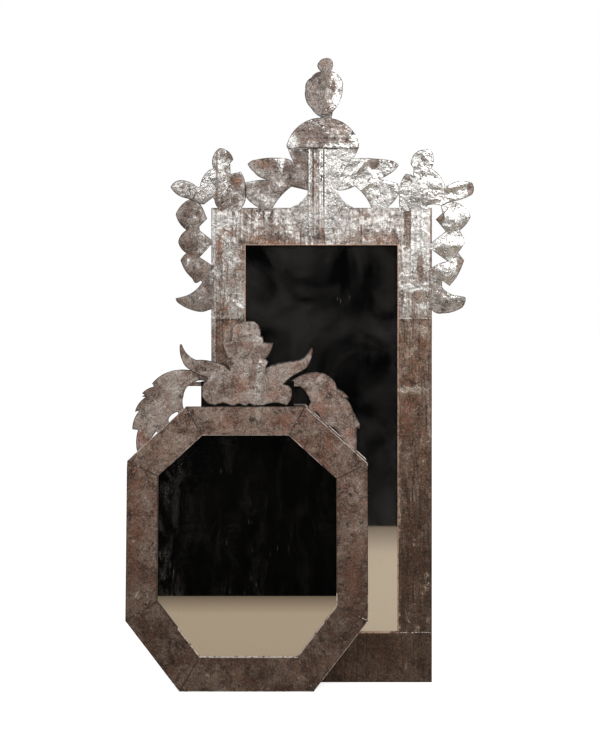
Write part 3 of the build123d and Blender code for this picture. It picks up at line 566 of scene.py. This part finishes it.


# ---- marks on the tin ----------------------------------------

# The pale marks are partly worn and smeared tin and partly painted highlight and shade.
# Where a sheet is paler or rustier than elsewhere, or less so where strength is below nothing:
# (x, z, half width, half height, strength)
MARKS = {
    "tall_tin_left_upper": {
        "pale": ((-0.297, 1.372, 0.02, 0.034, 1.5), (-0.3, 1.486, 0.05, 0.024, 0.9),
            (-0.285, 1.29, 0.032, 0.034, -0.9), (-0.325, 1.21, 0.03, 0.03, -0.5),
            (-0.268, 1.205, 0.02, 0.007, 1.6)),
        "rust": ((-0.324, 1.395, 0.013, 0.042, 2.0), (-0.3, 1.434, 0.022, 0.012, 1.3),
            (-0.262, 1.36, 0.011, 0.04, 1.0), (-0.3, 1.2, 0.014, 0.008, 1.0),
            (-0.28, 1.28, 0.03, 0.03, 0.5)),
    },
    "tall_tin_left_lower": {
        "pale": ((-0.3, 1.1, 0.04, 0.05, 0.8),),
        "rust": ((-0.29, 1.14, 0.03, 0.015, 0.8),),
    },
    "tall_tin_right_upper": {
        # The narrow upright stripes at the corner paint highlights on the folds, with darker lines
        # between them.
        "pale": ((0.276, 1.46, 0.008, 0.06, -3.4), (0.304, 1.462, 0.015, 0.06, 2.6),
            (0.334, 1.455, 0.012, 0.07, 2.2), (0.254, 1.47, 0.008, 0.03, 0.8),
            (0.29, 1.386, 0.03, 0.03, 0.9), (0.315, 1.335, 0.006, 0.04, -2.4),
            (0.28, 1.33, 0.02, 0.04, 0.6), (0.336, 1.33, 0.009, 0.06, 0.9),
            (0.3, 1.264, 0.05, 0.009, 2.2), (0.307, 1.231, 0.016, 0.012, -2.6),
            (0.268, 1.2, 0.008, 0.03, 1.3), (0.33, 1.2, 0.02, 0.02, 0.5),
            (0.3, 1.44, 0.06, 0.09, 0.5), (0.3515, 1.38, 0.003, 0.16, -4.0)),
        "rust": ((0.276, 1.42, 0.012, 0.05, 0.7), (0.31, 1.23, 0.015, 0.015, 0.8),
            (0.3515, 1.38, 0.003, 0.16, 3.0)),
    },
    "tall_tin_right_lower": {
        "pale": ((0.3, 1.13, 0.05, 0.03, 0.9), (0.28, 1.05, 0.02, 0.05, 0.8),
            # (0.29, 0.938) paints a highlight along the crumpled band.
            (0.29, 0.938, 0.045, 0.012, 2.0), (0.34, 0.85, 0.008, 0.05, 0.6),
            (0.25, 0.6, 0.004, 0.5, 0.6)),
        "rust": ((0.27, 0.86, 0.02, 0.06, 0.6), (0.33, 0.7, 0.02, 0.07, 0.6),
            (0.28, 0.5, 0.02, 0.1, 0.4)),
    },
    "tall_tin_top": {
        "pale": ((0.02, 1.468, 0.013, 0.034, 2.2), (0.08, 1.46, 0.045, 0.034, 0.3),
            (0.185, 1.468, 0.05, 0.022, 1.0), (0.027, 1.494, 0.008, 0.006, -2.0),
            (-0.1, 1.47, 0.07, 0.03, 0.2), (-0.2, 1.48, 0.05, 0.026, 0.2)),
        "rust": ((-0.222, 1.425, 0.03, 0.014, 1.5), (-0.18, 1.411, 0.05, 0.008, 1.6),
            (-0.1, 1.405, 0.06, 0.005, 1.5), (0.16, 1.418, 0.03, 0.011, 1.6),
            (0.22, 1.414, 0.03, 0.012, 1.6), (0.004, 1.455, 0.01, 0.02, 1.3)),
    },
    "tall_tin_bottom": {
        "pale": ((-0.2, 0.08, 0.4, 0.2, -0.5), (0.25, 0.08, 0.2, 0.2, -0.5)),
    },
    "tall_edge_strip": {
        "pale": ((-0.346, 1.45, 0.02, 0.1, 1.0), (-0.346, 1.2, 0.02, 0.05, 0.7)),
    },
    "octagon_tin_top": {
        "pale": ((-0.203, 0.852, 0.007, 0.035, 2.4), (-0.33, 0.85, 0.04, 0.03, 0.7),
            (-0.08, 0.845, 0.03, 0.03, 0.8), (0.0, 0.878, 0.12, 0.004, 0.9)),
        "rust": ((-0.3, 0.83, 0.03, 0.03, 1.0), (-0.12, 0.85, 0.03, 0.02, 0.8)),
    },
    "octagon_tin_upper_left": {
        "pale": ((-0.541, 0.672, 0.016, 0.011, 2.2), (-0.45, 0.76, 0.03, 0.03, 0.7)),
        "rust": ((-0.5, 0.75, 0.05, 0.04, 0.5),),
    },
    "octagon_tin_upper_right": {
        "pale": ((0.07, 0.73, 0.04, 0.03, 0.9), (-0.02, 0.81, 0.03, 0.03, 0.8),
            (0.12, 0.68, 0.02, 0.02, 0.8)),
        "rust": ((0.02, 0.76, 0.03, 0.03, 1.0),),
    },
    "octagon_tin_left": {
        "pale": ((-0.57, 0.28, 0.025, 0.05, 0.7), (-0.57, 0.6, 0.03, 0.06, 0.3)),
        "rust": ((-0.59, 0.46, 0.02, 0.16, 1.2),),
    },
    "octagon_tin_right": {
        "pale": ((0.1, 0.54, 0.025, 0.06, 0.9), (0.12, 0.62, 0.02, 0.04, 0.5)),
        "rust": ((0.1, 0.38, 0.025, 0.1, 1.1),),
    },
    "octagon_tin_bottom": {
        "pale": ((-0.3, 0.06, 0.06, 0.03, 0.5),),
        "rust": ((-0.27, 0.06, 0.03, 0.02, 0.5),),
    },
    "octagon_tin_lower_right": {
        "pale": ((0.07, 0.12, 0.03, 0.03, 0.3),),
        "rust": ((0.05, 0.14, 0.03, 0.04, 0.5),),
    },
    "tall_crest_wings": {
        # The broad first mark is partly bare tin and partly the painted highlight of the key light
        # on the crest's right-hand side.
        "pale": ((0.15, 1.6, 0.09, 0.06, 2.5), (0.168, 1.655, 0.013, 0.016, -3.0),
            (-0.18, 1.6, 0.06, 0.05, -0.2), (-0.13, 1.66, 0.008, 0.03, 1.9),
            (0.09, 1.67, 0.02, 0.02, 0.8), (0.15, 1.546, 0.014, 0.02, -1.6),
            (-0.1, 1.64, 0.03, 0.03, -0.6), (-0.19, 1.655, 0.03, 0.014, -1.4)),
        "rust": ((-0.185, 1.655, 0.03, 0.015, 2.0), (-0.22, 1.67, 0.02, 0.01, 1.2),
            (0.17, 1.655, 0.012, 0.014, 1.0)),
    },
    "tall_crest_goblet": {
        # The narrow upright pale marks on the stem paint highlights on its flutes.
        "pale": ((-0.0015, 1.63, 0.006, 0.09, 2.6), (0.027, 1.69, 0.013, 0.02, 2.0),
            (0.02, 1.555, 0.012, 0.02, 1.6), (0.05, 1.63, 0.03, 0.04, 1.9),
            (0.0, 1.6, 0.1, 0.1, 0.5), (-0.02, 1.6, 0.014, 0.12, -0.3),
            (-0.038, 1.66, 0.004, 0.05, 2.2), (-0.05, 1.64, 0.012, 0.05, -0.8),
            (-0.08, 1.68, 0.02, 0.02, -0.7), (0.02, 1.468, 0.012, 0.034, 2.0),
            (-0.03, 1.46, 0.02, 0.04, 0.5), (0.08, 1.685, 0.03, 0.02, 0.8)),
        "rust": ((-0.02, 1.6, 0.008, 0.1, 1.4), (-0.03, 1.68, 0.012, 0.03, 1.2),
            (-0.05, 1.6, 0.02, 0.02, 0.8), (0.055, 1.69, 0.01, 0.01, 1.5),
            (0.002, 1.455, 0.01, 0.02, 1.5), (-0.03, 1.52, 0.02, 0.02, 1.0)),
    },
    "tall_crest_dome": {
        "pale": ((-0.094, 1.73, 0.012, 0.02, 1.8), (0.106, 1.75, 0.01, 0.03, 1.8),
            (0.06, 1.715, 0.04, 0.006, 1.8), (-0.05, 1.76, 0.04, 0.02, -0.3)),
        "rust": ((0.06, 1.771, 0.03, 0.0035, 2.4), (0.066, 1.758, 0.03, 0.0035, 2.2),
            (0.04, 1.784, 0.03, 0.003, 1.4), (-0.05, 1.735, 0.05, 0.004, 1.3)),
    },
    "tall_crest_finial": {
        # The finial's right half is painted paler and its left half darker: painted highlight and
        # shade on the fold's two faces.
        "pale": ((0.045, 1.9, 0.02, 0.06, 0.9), (-0.02, 1.9, 0.03, 0.06, -2.2),
            (0.012, 1.975, 0.02, 0.016, -3.6), (0.038, 1.902, 0.006, 0.014, -2.4),
            (0.03, 1.876, 0.005, 0.008, -2.0), (-0.052, 1.9, 0.006, 0.03, -1.6)),
        "rust": ((0.012, 1.975, 0.022, 0.018, 0.9), (-0.03, 1.9, 0.03, 0.05, 0.5)),
    },
    "tall_spray_left": {
        "pale": ((-0.33, 1.6, 0.16, 0.12, 0.3), (-0.35, 1.6, 0.008, 0.03, 2.0),
            (-0.27, 1.606, 0.016, 0.018, -1.6), (-0.335, 1.6, 0.0022, 0.12, -2.2),
            (-0.322, 1.66, 0.01, 0.025, 1.0), (-0.24, 1.57, 0.02, 0.02, -0.4)),
        "rust": ((-0.27, 1.606, 0.018, 0.02, 1.6), (-0.33, 1.56, 0.03, 0.02, 0.5)),
    },
    "tall_spray_right": {
        # The broad first mark is partly bare tin and partly the painted highlight of the key light
        # on the crest's right-hand side.
        "pale": ((0.34, 1.6, 0.16, 0.12, 1.8), (0.271, 1.616, 0.009, 0.008, -4.0),
            (0.29, 1.603, 0.012, 0.012, -1.4), (0.323, 1.674, 0.004, 0.006, -4.0),
            (0.311, 1.656, 0.004, 0.005, -4.0), (0.481, 1.576, 0.01, 0.018, -5.0),
            (0.362, 1.54, 0.02, 0.006, -4.0), (0.344, 1.528, 0.006, 0.008, -4.0),
            (0.315, 1.61, 0.002, 0.016, -3.0)),
        "rust": ((0.29, 1.603, 0.012, 0.012, 0.8), (0.481, 1.576, 0.01, 0.018, 0.8)),
    },
    "tall_garland_left": {
        "pale": ((-0.4, 1.42, 0.1, 0.12, -0.3), (-0.37, 1.39, 0.02, 0.02, 0.7),
            (-0.45, 1.33, 0.012, 0.04, -1.4), (-0.42, 1.22, 0.07, 0.03, -0.7),
            (-0.387, 1.226, 0.003, 0.003, 8.0), (-0.44, 1.51, 0.02, 0.02, -0.3)),
        "rust": ((-0.4, 1.45, 0.03, 0.008, 1.2), (-0.42, 1.37, 0.02, 0.008, 1.2),
            (-0.38, 1.32, 0.02, 0.02, 0.8)),
    },
    "tall_garland_right": {
        # The broad first mark is partly bare tin and partly the painted highlight of the key light
        # on the crest's right-hand side.
        "pale": ((0.41, 1.44, 0.09, 0.1, 1.3), (0.377, 1.484, 0.013, 0.016, -5.0),
            (0.446, 1.33, 0.012, 0.03, -2.0), (0.41, 1.3, 0.03, 0.02, 0.4),
            (0.4, 1.2, 0.03, 0.03, -0.3), (0.43, 1.23, 0.03, 0.006, 0.8)),
        "rust": ((0.446, 1.33, 0.012, 0.03, 1.0), (0.377, 1.484, 0.013, 0.016, 1.2),
            (0.42, 1.41, 0.02, 0.02, 0.5)),
    },
    "octagon_crest": {
        "pale": ((-0.203, 0.935, 0.008, 0.05, 2.6), (-0.196, 1.0, 0.007, 0.03, 2.2),
            (-0.2, 1.09, 0.03, 0.03, 1.0), (-0.05, 1.03, 0.03, 0.02, 0.9),
            (-0.35, 0.98, 0.05, 0.03, 0.6), (-0.33, 1.06, 0.02, 0.05, 0.6)),
        "rust": ((-0.27, 1.125, 0.012, 0.01, 2.0), (-0.26, 0.93, 0.04, 0.03, 0.9),
            (-0.14, 0.93, 0.03, 0.03, 1.0)),
    },
    "octagon_leaf_left": {
        "pale": ((-0.49, 0.93, 0.08, 0.05, 0.7), (-0.42, 0.96, 0.04, 0.02, 0.8)),
        "rust": ((-0.58, 0.78, 0.02, 0.04, 1.2),),
    },
    "octagon_leaf_right": {
        "pale": ((-0.03, 0.97, 0.05, 0.02, 0.7), (0.04, 0.86, 0.04, 0.05, 0.2)),
        "rust": ((0.0, 0.9, 0.04, 0.04, 0.8), (0.09, 0.8, 0.02, 0.04, 0.8)),
    },
}


# ---- tin over the wood ---------------------------------------

def frame_sheet(node, body, material, behind, slack, counts, lips, shape=None, pitch=5 * MM):
    """One sheet that covers wood: cut fine, buckled a little where it has slack, and marked with
    stains and painted light.

    behind, slack, counts and lips are rules: how far a place lies behind the face, how free it is,
    and which folds are darkened, partly as painted shade, and which get a pale lip: a painted
    highlight on the octagon, worn pale tin round the tall opening.
    """
    piece = cut_net(copy_of(node), pitch)
    rim_of(piece, SHEET_RIM, counts)
    rim_of(piece, SHEET_RIM, lips, "lip")

    def on_face(place):
        return 1 - step(BEND_START, BEND_END, behind(place))

    loosen(piece, lambda place: slack(place) * on_face(place))
    if shape:
        press(piece, lambda place: max(0.0, shape(place)) * on_face(place))
    dent(piece, -3.0 * MM, BROAD, middle=0.36)
    dent(piece, -1.4 * MM, FRAME_SMALL, middle=0.2, hard=True)
    mark_stains_and_light(piece, node)
    smooth(piece)
    hang(piece, body, material, node)


def tall_slack(place):
    """The tall mirror's sheets are slack high up, and held where other tin is soldered on."""
    slack = 0.22 + 0.78 * step(0.98, 1.25, place.z)
    if -75 * MM < place.x < 100 * MM and place.z > OPENING_TOP:
        slack *= 0.45
    slack *= 1 - 0.6 * step(TALL_TOP - 30 * MM, TALL_TOP - 12 * MM, place.z)
    return slack * (1 - 0.5 * step(TALL_HALF - 28 * MM, TALL_HALF - 16 * MM, abs(place.x)))


def tall_outside(centre, normal):
    """The tall frame's outer folds."""
    beside = centre.x * normal.x > 0.3 and abs(normal.x) > 0.5
    return beside or centre.z > TALL_TOP - MM or centre.z < MM


def tall_lip(centre, normal):
    """The folds into the tall opening."""
    inside = OPENING_BOTTOM - 2 * MM < centre.z < OPENING_TOP + 2 * MM
    return inside and abs(centre.x) < OPENING_HALF + MM


# Folds by the right-hand corner: place, lean, start over the lowest, height and width
LOWEST_FOLD = 1.30
CORNER_FOLDS = (
    (0.257, 0.0, 0.02, 2.2 * MM, 3 * MM), (0.266, -0.001, 0.05, -1.6 * MM, 3 * MM),
    (0.286, 0.002, 0.0, 2.8 * MM, 4 * MM), (0.304, 0.001, 0.07, 1.6 * MM, 5 * MM),
    (0.322, -0.002, 0.0, 2.2 * MM, 4 * MM), (0.337, 0.001, 0.04, 1.4 * MM, 3 * MM))


def right_upper_creases(place):
    """Upright folds by the corner, and a crumpled band lower down."""
    folds = sum(ridge(place, (x, LOWEST_FOLD + start), (x + lean, TALL_TOP), height, width)
                for x, lean, start, height, width in CORNER_FOLDS)
    crumple = exp(-((place.z - 1.262) / 0.026) ** 2) * 1.8 * MM
    crumple *= ripple(place, 20 * MM, 9 * MM, 3.0)
    return folds + crumple + 1.1 * MM * ripple(place, 9 * MM, 80 * MM, 8.0)


def right_lower_creases(place):
    """A crumpled band halfway up, small crimps along the opening and long faint folds."""
    crumple = exp(-((place.z - 0.936) / 0.02) ** 2) * 1.8 * MM * ripple(place, 26 * MM, 6 * MM, 5.0)
    crimp = 1.2 * MM * exp(-((place.x - OPENING_HALF) / (8 * MM)) ** 2)
    crimp *= max(0.0, sin(2 * pi * place.z / (29 * MM))) ** 6
    return crumple + crimp + 1.2 * MM * ripple(place, 13 * MM, 150 * MM, 1.0)


def left_creases(place):
    """Long faint folds, and one slanting crease at the corner of the opening."""
    slant = ridge(place, (-0.29, 1.222), (-0.255, 1.196), 2 * MM, 4 * MM)
    return 0.9 * MM * ripple(place, 14 * MM, 60 * MM, 2.0) + slant


def top_creases(place):
    """Deep crumples at the right-hand end, and low ones round the goblet's foot."""
    right = step(0.125, 0.16, place.x) * step(1.425, 1.44, place.z)
    right *= 3.2 * MM * ripple(place, 13 * MM, 16 * MM, 7.0)
    return right + 0.6 * MM * ripple(place, 14 * MM, 50 * MM, 4.0)


def tall_frame():
    """The sheets of the tall mirror's frame."""
    for name, material, shape, pitch in (
            ("tin_left_upper", UPPER_TIN, left_creases, 4 * MM),
            ("tin_left_lower", FRAME_TIN, left_creases, 5 * MM),
            ("tin_right_upper", UPPER_TIN, right_upper_creases, 3 * MM),
            ("tin_right_lower", FRAME_TIN, right_lower_creases, 5 * MM),
            ("tin_top", UPPER_TIN, top_creases, 4 * MM),
            ("tin_bottom", FRAME_TIN, None, 5 * MM),
            ("edge_strip", UPPER_TIN, None, 5 * MM)):
        frame_sheet("tall_" + name, "tall", material, behind_tall, tall_slack,
                    tall_outside, tall_lip, shape, pitch)


def octagon_slack(place):
    """The narrow strips are equally tight all over."""
    return 0.3


def octagon_side(centre, normal):
    """1 for an edge that looks outwards, -1 for one that looks into the opening, 0 for a mitre."""
    out = centre - OCT_MIDDLE
    out.y = 0
    facing = normal.dot(out.normalized())
    return 0 if abs(facing) < 0.72 else (1 if facing > 0 else -1)


def octagon_highlit_edge(centre, normal):
    """The folds with a painted highlight, where they catch the light: outer ones at the upper
    corners, inner ones low down.
    """
    side = octagon_side(centre, normal)
    outer = side > 0 and 0.7 < centre.z < 0.882
    inner = side < 0 and centre.z < 0.3 and centre.x > -0.45
    return outer or inner


def octagon_dark_edge(centre, normal):
    """All the other folds, and the mitres, which are darkened: partly dark oxide, partly painted
    shade.
    """
    return not octagon_highlit_edge(centre, normal)


def octagon_frame():
    """The eight strips of the octagonal mirror's frame."""
    for side in OCT_SIDES:
        frame_sheet("octagon_tin_" + side, "octagon", OCTAGON_TIN, behind_octagon,
                    octagon_slack, octagon_dark_edge, octagon_highlit_edge)


# ---- cut ornament --------------------------------------------

def turn_edges(piece, held, back):
    """Turn the cut edges back a little, as shears leave them."""
    rim = piece.data.attributes["rim"].data
    for vertex in piece.data.vertices:
        uneven = 0.6 + ripple(vertex.co, 40 * MM, 40 * MM, 21.0)
        vertex.co.y += back * uneven * rim[vertex.index].value ** 2 * min(1.0, held(vertex.co))


def dome_arc(x):
    """Where the front of the bowed dome lies."""
    return DOME_FRONT + DOME_RADIUS - (DOME_RADIUS ** 2 - x ** 2) ** 0.5


def flatten_dome(piece):
    """Lay the dome's sheet flat, its front at 0, so that its flats are one face."""
    for vertex in piece.data.vertices:
        vertex.co.y = 0.0 if vertex.co.y - dome_arc(vertex.co.x) < 0.75 * TIN else TIN


def bow_dome(piece):
    """Bow the cut sheet to a true arc, where the solid has flats."""
    for vertex in piece.data.vertices:
        vertex.co.y += dome_arc(vertex.co.x)


def ornament(node, body, slot, material, held, shape=None, depth=7 * MM, pitch=4 * MM, counts=None,
             bowed=False, edge=ORNAMENT_RIM):
    """A sheet of cut tin: held says how free each place is, shape bends it before the dents."""
    piece = cut_net(copy_of(node, flatten_dome if bowed else None), pitch)
    rim_of(piece, edge, counts)
    if bowed:
        bow_dome(piece)
    loosen(piece, held)
    turn_edges(piece, held, CUT_BACK)
    if shape:
        press(piece, lambda place: shape(place) * min(1.0, max(0.0, held(place))))
    dent(piece, depth, BROAD)
    dent(piece, -depth * 0.28, CUT_SMALL, hard=True)
    mark_stains_and_light(piece, node)
    smooth(piece)
    hang(piece, body, material, node)


def over_frame(place):
    """Held by solder on the frame, free above it."""
    return step(TALL_TOP - 5 * MM, TALL_TOP + 45 * MM, place.z)


def beside_frame(place):
    """Held on the frame, free above and beside it."""
    return max(over_frame(place), step(TALL_HALF + 2 * MM, TALL_HALF + 28 * MM, abs(place.x)))


def above_frame(centre, normal):
    """The cut edges that stand clear of the frame."""
    return centre.z > TALL_TOP + 4 * MM or abs(centre.x) > TALL_HALF


def goblet_rim(centre, normal):
    """The goblet's outline, and the left foot of the second and the last flute of its stem, where
    the dark edge is a painted shadow on the side away from the lamp.
    """
    on_stem = -0.046 < centre.x < 0.02
    # Painted shadow on the flutes' left feet, away from the key lamp.
    shadow_side = normal.x < -0.8 and (-0.029 < centre.x < -0.025 or 0.005 < centre.x < 0.009)
    return above_frame(centre, normal) and (not on_stem or shadow_side)


def finial_fold(place):
    """One sharp fold from the neck to the knob, so that each half faces its own way."""
    knob, middle, neck = (0.028, 1.958), (0.006, 1.859), (0.014, 1.806)
    fold = min(away(place, knob, middle), away(place, middle, neck))
    waves = 2 * MM * ripple(place, 18 * MM, 30 * MM, 9.0) * step(0.0, 0.02, place.x - 0.016)
    return 4 * MM - 0.1 * fold + waves


def dome_wrinkles(place):
    """Rows of low wrinkles, deeper to the right and along the seam."""
    right = step(-0.06, 0.08, place.x)
    low = exp(-((place.z - 1.72) / 0.02) ** 2)
    rows = ripple(place, 30 * MM, 6 * MM, 11.0) * (0.7 + 0.9 * right)
    rows += 1.6 * low * right * ripple(place, 9 * MM, 8 * MM, 12.0)
    return rows * 1.5 * MM


def wing_folds(place):
    """The folds of the two wings and of the leaves below them."""
    return sum(ridge(place, start, end, height, width) for start, end, height, width in (
        ((-0.133, 1.632), (-0.131, 1.68), 4 * MM, 5 * MM),
        ((-0.17, 1.66), (-0.2, 1.64), -3 * MM, 9 * MM),
        ((0.168, 1.64), (0.172, 1.672), -5 * MM, 9 * MM),
        ((0.1, 1.62), (0.15, 1.675), 4 * MM, 8 * MM),
        ((0.12, 1.57), (0.16, 1.6), 4 * MM, 7 * MM),
        ((-0.14, 1.56), (-0.12, 1.61), 3 * MM, 8 * MM)))


def spray_folds(place):
    """A long fold up the middle of each spray, and a short one on its ear."""
    if place.x < 0:
        middle = away(place, (-0.322, 1.52), (-0.318, 1.71))
        ear = ridge(place, (-0.34, 1.6), (-0.33, 1.64), 3 * MM, 8 * MM)
    else:
        middle = away(place, (0.312, 1.52), (0.318, 1.70))
        ear = ridge(place, (0.4, 1.58), (0.46, 1.595), 3 * MM, 9 * MM)
    return 6 * MM - 0.12 * middle + ear


def garland_folds(place):
    """Each lobe is folded along its middle, and the joints between lobes are pushed back."""
    side = -1 if place.x < 0 else 1
    along = away(place, (side * 0.41, 1.50), (side * 0.385, 1.20))
    lobes = 2.2 * MM * cos(2 * pi * (place.z - 1.482) / 0.083)
    return lobes - 0.1 * along + 3 * MM


def tall_ornament():
    """Wings, goblet, dome, finial, sprays and garlands."""
    def cut_sheet(name, held, **worked):
        ornament("tall_" + name, "tall", "crest_tin", CREST_TIN, held, **worked)

    cut_sheet("crest_wings", over_frame, shape=wing_folds, counts=above_frame)
    cut_sheet("crest_goblet", over_frame, depth=3 * MM, pitch=3 * MM, counts=goblet_rim,
              edge=GOBLET_RIM)
    cut_sheet("crest_dome", over_frame, shape=dome_wrinkles, depth=2 * MM, pitch=3 * MM, bowed=True)
    cut_sheet("crest_finial", over_frame, shape=finial_fold, depth=2 * MM)
    for side in ("left", "right"):
        cut_sheet("spray_" + side, beside_frame, shape=spray_folds, counts=above_frame,
                  pitch=3 * MM)
    for side in ("left", "right"):
        cut_sheet("garland_" + side, beside_frame, shape=garland_folds, counts=above_frame)


def over_batten(place):
    """Held at the crest's foot, free above it."""
    return 0.12 + 0.88 * step(OCT_TOP + 60 * MM, OCT_TOP + 120 * MM, place.z)


def off_frame(place):
    """A leaf is freer the higher it stands over the octagon."""
    return 0.3 + 0.4 * step(OCT_TOP - 60 * MM, OCT_TOP + 60 * MM, place.z)


def octagon_ornament():
    """The crest and its two leaves."""
    for name, held in (("crest", over_batten), ("leaf_left", off_frame), ("leaf_right", off_frame)):
        ornament("octagon_" + name, "octagon", "octagon_tin", OCTAGON_CREST_TIN, held, depth=4 * MM)


# ---- hardware, wood and glass --------------------------------

def solder_runs():
    """The beads on the seams, lumpy as a hand-held iron leaves them."""
    for body, finish in (("tall", SOLDER), ("octagon", DULL_SOLDER)):
        node = body + "_solder"
        piece = cut_net(copy_of(node), 4 * MM)
        dent(piece, 1.3 * MM, 9 * MM, direction="NORMAL")
        smooth(piece, 60)
        hang(piece, body, finish, node)


def hardware():
    """Hangers, screws, nails, sprigs and straps."""
    rounded = {
        "tall_hanger_ring_left": "ring_left", "tall_hanger_ring_right": "ring_right",
        "tall_hanger_strap_left": "tall", "tall_hanger_strap_right": "tall",
        "tall_hanger_screws": "tall", "octagon_hanging_tab": "octagon",
    }
    for node, body in rounded.items():
        hang(smooth(copy_of(node), 50), body, IRON, node)
    for node in ("tall_nails", "octagon_nails", "tall_sprigs", "octagon_sprigs",
                 "tall_crest_straps"):
        refinish(node, IRON)


def wood_and_glass():
    """Finishes for the nodes that keep their own shape."""
    finishes = {
        "tall_stile_core_left": UPRIGHT_WOOD, "tall_stile_core_right": UPRIGHT_WOOD,
        "tall_rail_core_top": RAIL_WOOD, "tall_rail_core_bottom": RAIL_WOOD,
        "octagon_crest_batten": DARK_WOOD, "octagon_crest_strap": OCTAGON_CREST_TIN,
        "tall_backboard": BOARD, "octagon_backboard": BOARD,
        "tall_glass": TALL_MIRROR, "octagon_glass": OCTAGON_MIRROR,
    }
    for side in OCT_SIDES:
        finishes["octagon_core_" + side] = UPRIGHT_WOOD if side in ("left", "right") else RAIL_WOOD
    for node, material in finishes.items():
        refinish(node, material)


# ---- studio --------------------------------------------------

def backdrop_material(name, seen, reflected, lit):
    """A plain surface: white to the camera and, in a reflection, its own colour, dimmer far off."""
    material = bpy.data.materials.new(name)
    material.use_nodes = True
    nodes, links = material.node_tree.nodes, material.node_tree.links
    nodes.clear()
    rays = nodes.new("ShaderNodeLightPath")
    mix = nodes.new("ShaderNodeMix")
    mix.data_type = "RGBA"
    split = nodes.new("ShaderNodeSeparateXYZ")
    links.new(nodes.new("ShaderNodeTexCoord").outputs["Object"], split.inputs[0])
    far = nodes.new("ShaderNodeMapRange")
    far.inputs["From Min"].default_value = FLOOR_DIMS_AT
    far.inputs["From Max"].default_value = DARK_WALL
    links.new(split.outputs["Y"], far.inputs["Value"])
    fade = nodes.new("ShaderNodeMix")
    fade.data_type = "RGBA"
    fade.inputs[6].default_value = reflected
    fade.inputs[7].default_value = tone(150, 136, 118)
    links.new(far.outputs["Result"], fade.inputs[0])
    links.new(fade.outputs[2], mix.inputs[6])
    mix.inputs[7].default_value = seen
    links.new(rays.outputs["Is Camera Ray"], mix.inputs[0])
    diffuse = nodes.new("ShaderNodeBsdfDiffuse")
    links.new(mix.outputs[2], diffuse.inputs["Color"])
    glow = nodes.new("ShaderNodeEmission")
    scale = nodes.new("ShaderNodeMath")
    scale.operation = "MULTIPLY"
    scale.inputs[1].default_value = lit
    links.new(rays.outputs["Is Camera Ray"], scale.inputs[0])
    links.new(scale.outputs[0], glow.inputs["Strength"])
    total = nodes.new("ShaderNodeAddShader")
    links.new(diffuse.outputs[0], total.inputs[0])
    links.new(glow.outputs[0], total.inputs[1])
    out = nodes.new("ShaderNodeOutputMaterial")
    links.new(total.outputs[0], out.inputs["Surface"])
    return material


def dark_panel(name, x0, x1, z0, z1, y):
    """A dark part of the studio behind the camera, which only reflections show."""
    middle = ((x0 + x1) / 2, y, (z0 + z1) / 2)
    bpy.ops.mesh.primitive_plane_add(size=1, location=middle, rotation=(pi / 2, 0, 0))
    panel = bpy.context.object
    panel.name = name
    panel.scale = (x1 - x0, z1 - z0, 1)
    material = bpy.data.materials.new(name)
    material.use_nodes = True
    surface = material.node_tree.nodes["Principled BSDF"]
    surface.inputs["Base Color"].default_value = (0.004, 0.0045, 0.005, 1)
    surface.inputs["Roughness"].default_value = 1.0
    surface.inputs["Specular IOR Level"].default_value = 0.0
    panel.data.materials.append(material)
    panel.visible_camera = False
    panel.visible_diffuse = False
    panel.visible_shadow = False
    panel.visible_transmission = False


def lamp(name, spot, target, size, power):
    """A square soft box that faces a target."""
    data = bpy.data.lights.new(name, "AREA")
    data.size = size
    data.energy = power
    box = bpy.data.objects.new(name, data)
    box.location = spot
    box.rotation_euler = (Vector(target) - Vector(spot)).to_track_quat("-Z", "Y").to_euler()
    bpy.context.scene.collection.objects.link(box)


def studio():
    """Pale floor, the dark end of a studio that only reflections show, and soft lamps."""
    bpy.ops.mesh.primitive_plane_add(size=40, location=(0, 0, 0))
    floor = bpy.context.object
    floor.name = "studio_floor"
    pale_floor = backdrop_material("pale_floor", level(0.8), tone(222, 206, 183), lit=0.7)
    floor.data.materials.append(pale_floor)
    dark_panel("dark_wall", -1.35, 0.95, 0.0, 1.6, DARK_WALL)
    dark_panel("dark_side", -4.5, -1.3, 0.0, 3.2, DARK_SIDE)

    world = bpy.data.worlds.new("pale_studio")
    bpy.context.scene.world = world
    world.use_nodes = True
    nodes, links = world.node_tree.nodes, world.node_tree.links
    rays = nodes.new("ShaderNodeLightPath")
    shown = nodes.new("ShaderNodeMath")
    shown.operation = "MAXIMUM"
    links.new(rays.outputs["Is Camera Ray"], shown.inputs[0])
    links.new(rays.outputs["Is Glossy Ray"], shown.inputs[1])
    through = nodes.new("ShaderNodeMath")
    through.operation = "MAXIMUM"
    links.new(shown.outputs[0], through.inputs[0])
    links.new(rays.outputs["Is Transmission Ray"], through.inputs[1])
    strength = nodes.new("ShaderNodeMapRange")
    strength.inputs["To Min"].default_value = 0.45
    strength.inputs["To Max"].default_value = 1.0
    links.new(through.outputs[0], strength.inputs["Value"])
    links.new(strength.outputs["Result"], nodes["Background"].inputs["Strength"])
    nodes["Background"].inputs["Color"].default_value = (1, 1, 1, 1)

    lamp("key_lamp", (1.7, -1.7, 2.9), (0.1, 0.0, 1.75), size=1.2, power=46)
    lamp("fill_lamp", (-1.6, -2.4, 2.6), (-0.1, 0.0, 1.2), size=1.4, power=22)


def camera():
    """A level camera in front of the tall mirror, a little to its left."""
    data = bpy.data.cameras.new("front_camera")
    data.sensor_fit = "VERTICAL"
    data.sensor_height = 36
    data.lens = 57
    data.shift_y = -0.132
    eye = bpy.data.objects.new("front_camera", data)
    eye.location = EYE
    eye.rotation_euler = (pi / 2, 0, 0)
    bpy.context.scene.collection.objects.link(eye)
    bpy.context.scene.camera = eye


bpy.ops.object.select_all(action="DESELECT")
tall_frame()
octagon_frame()
tall_ornament()
octagon_ornament()
solder_runs()
hardware()
wood_and_glass()
studio()
camera()
bpy.context.scene.view_settings.view_transform = "Standard"
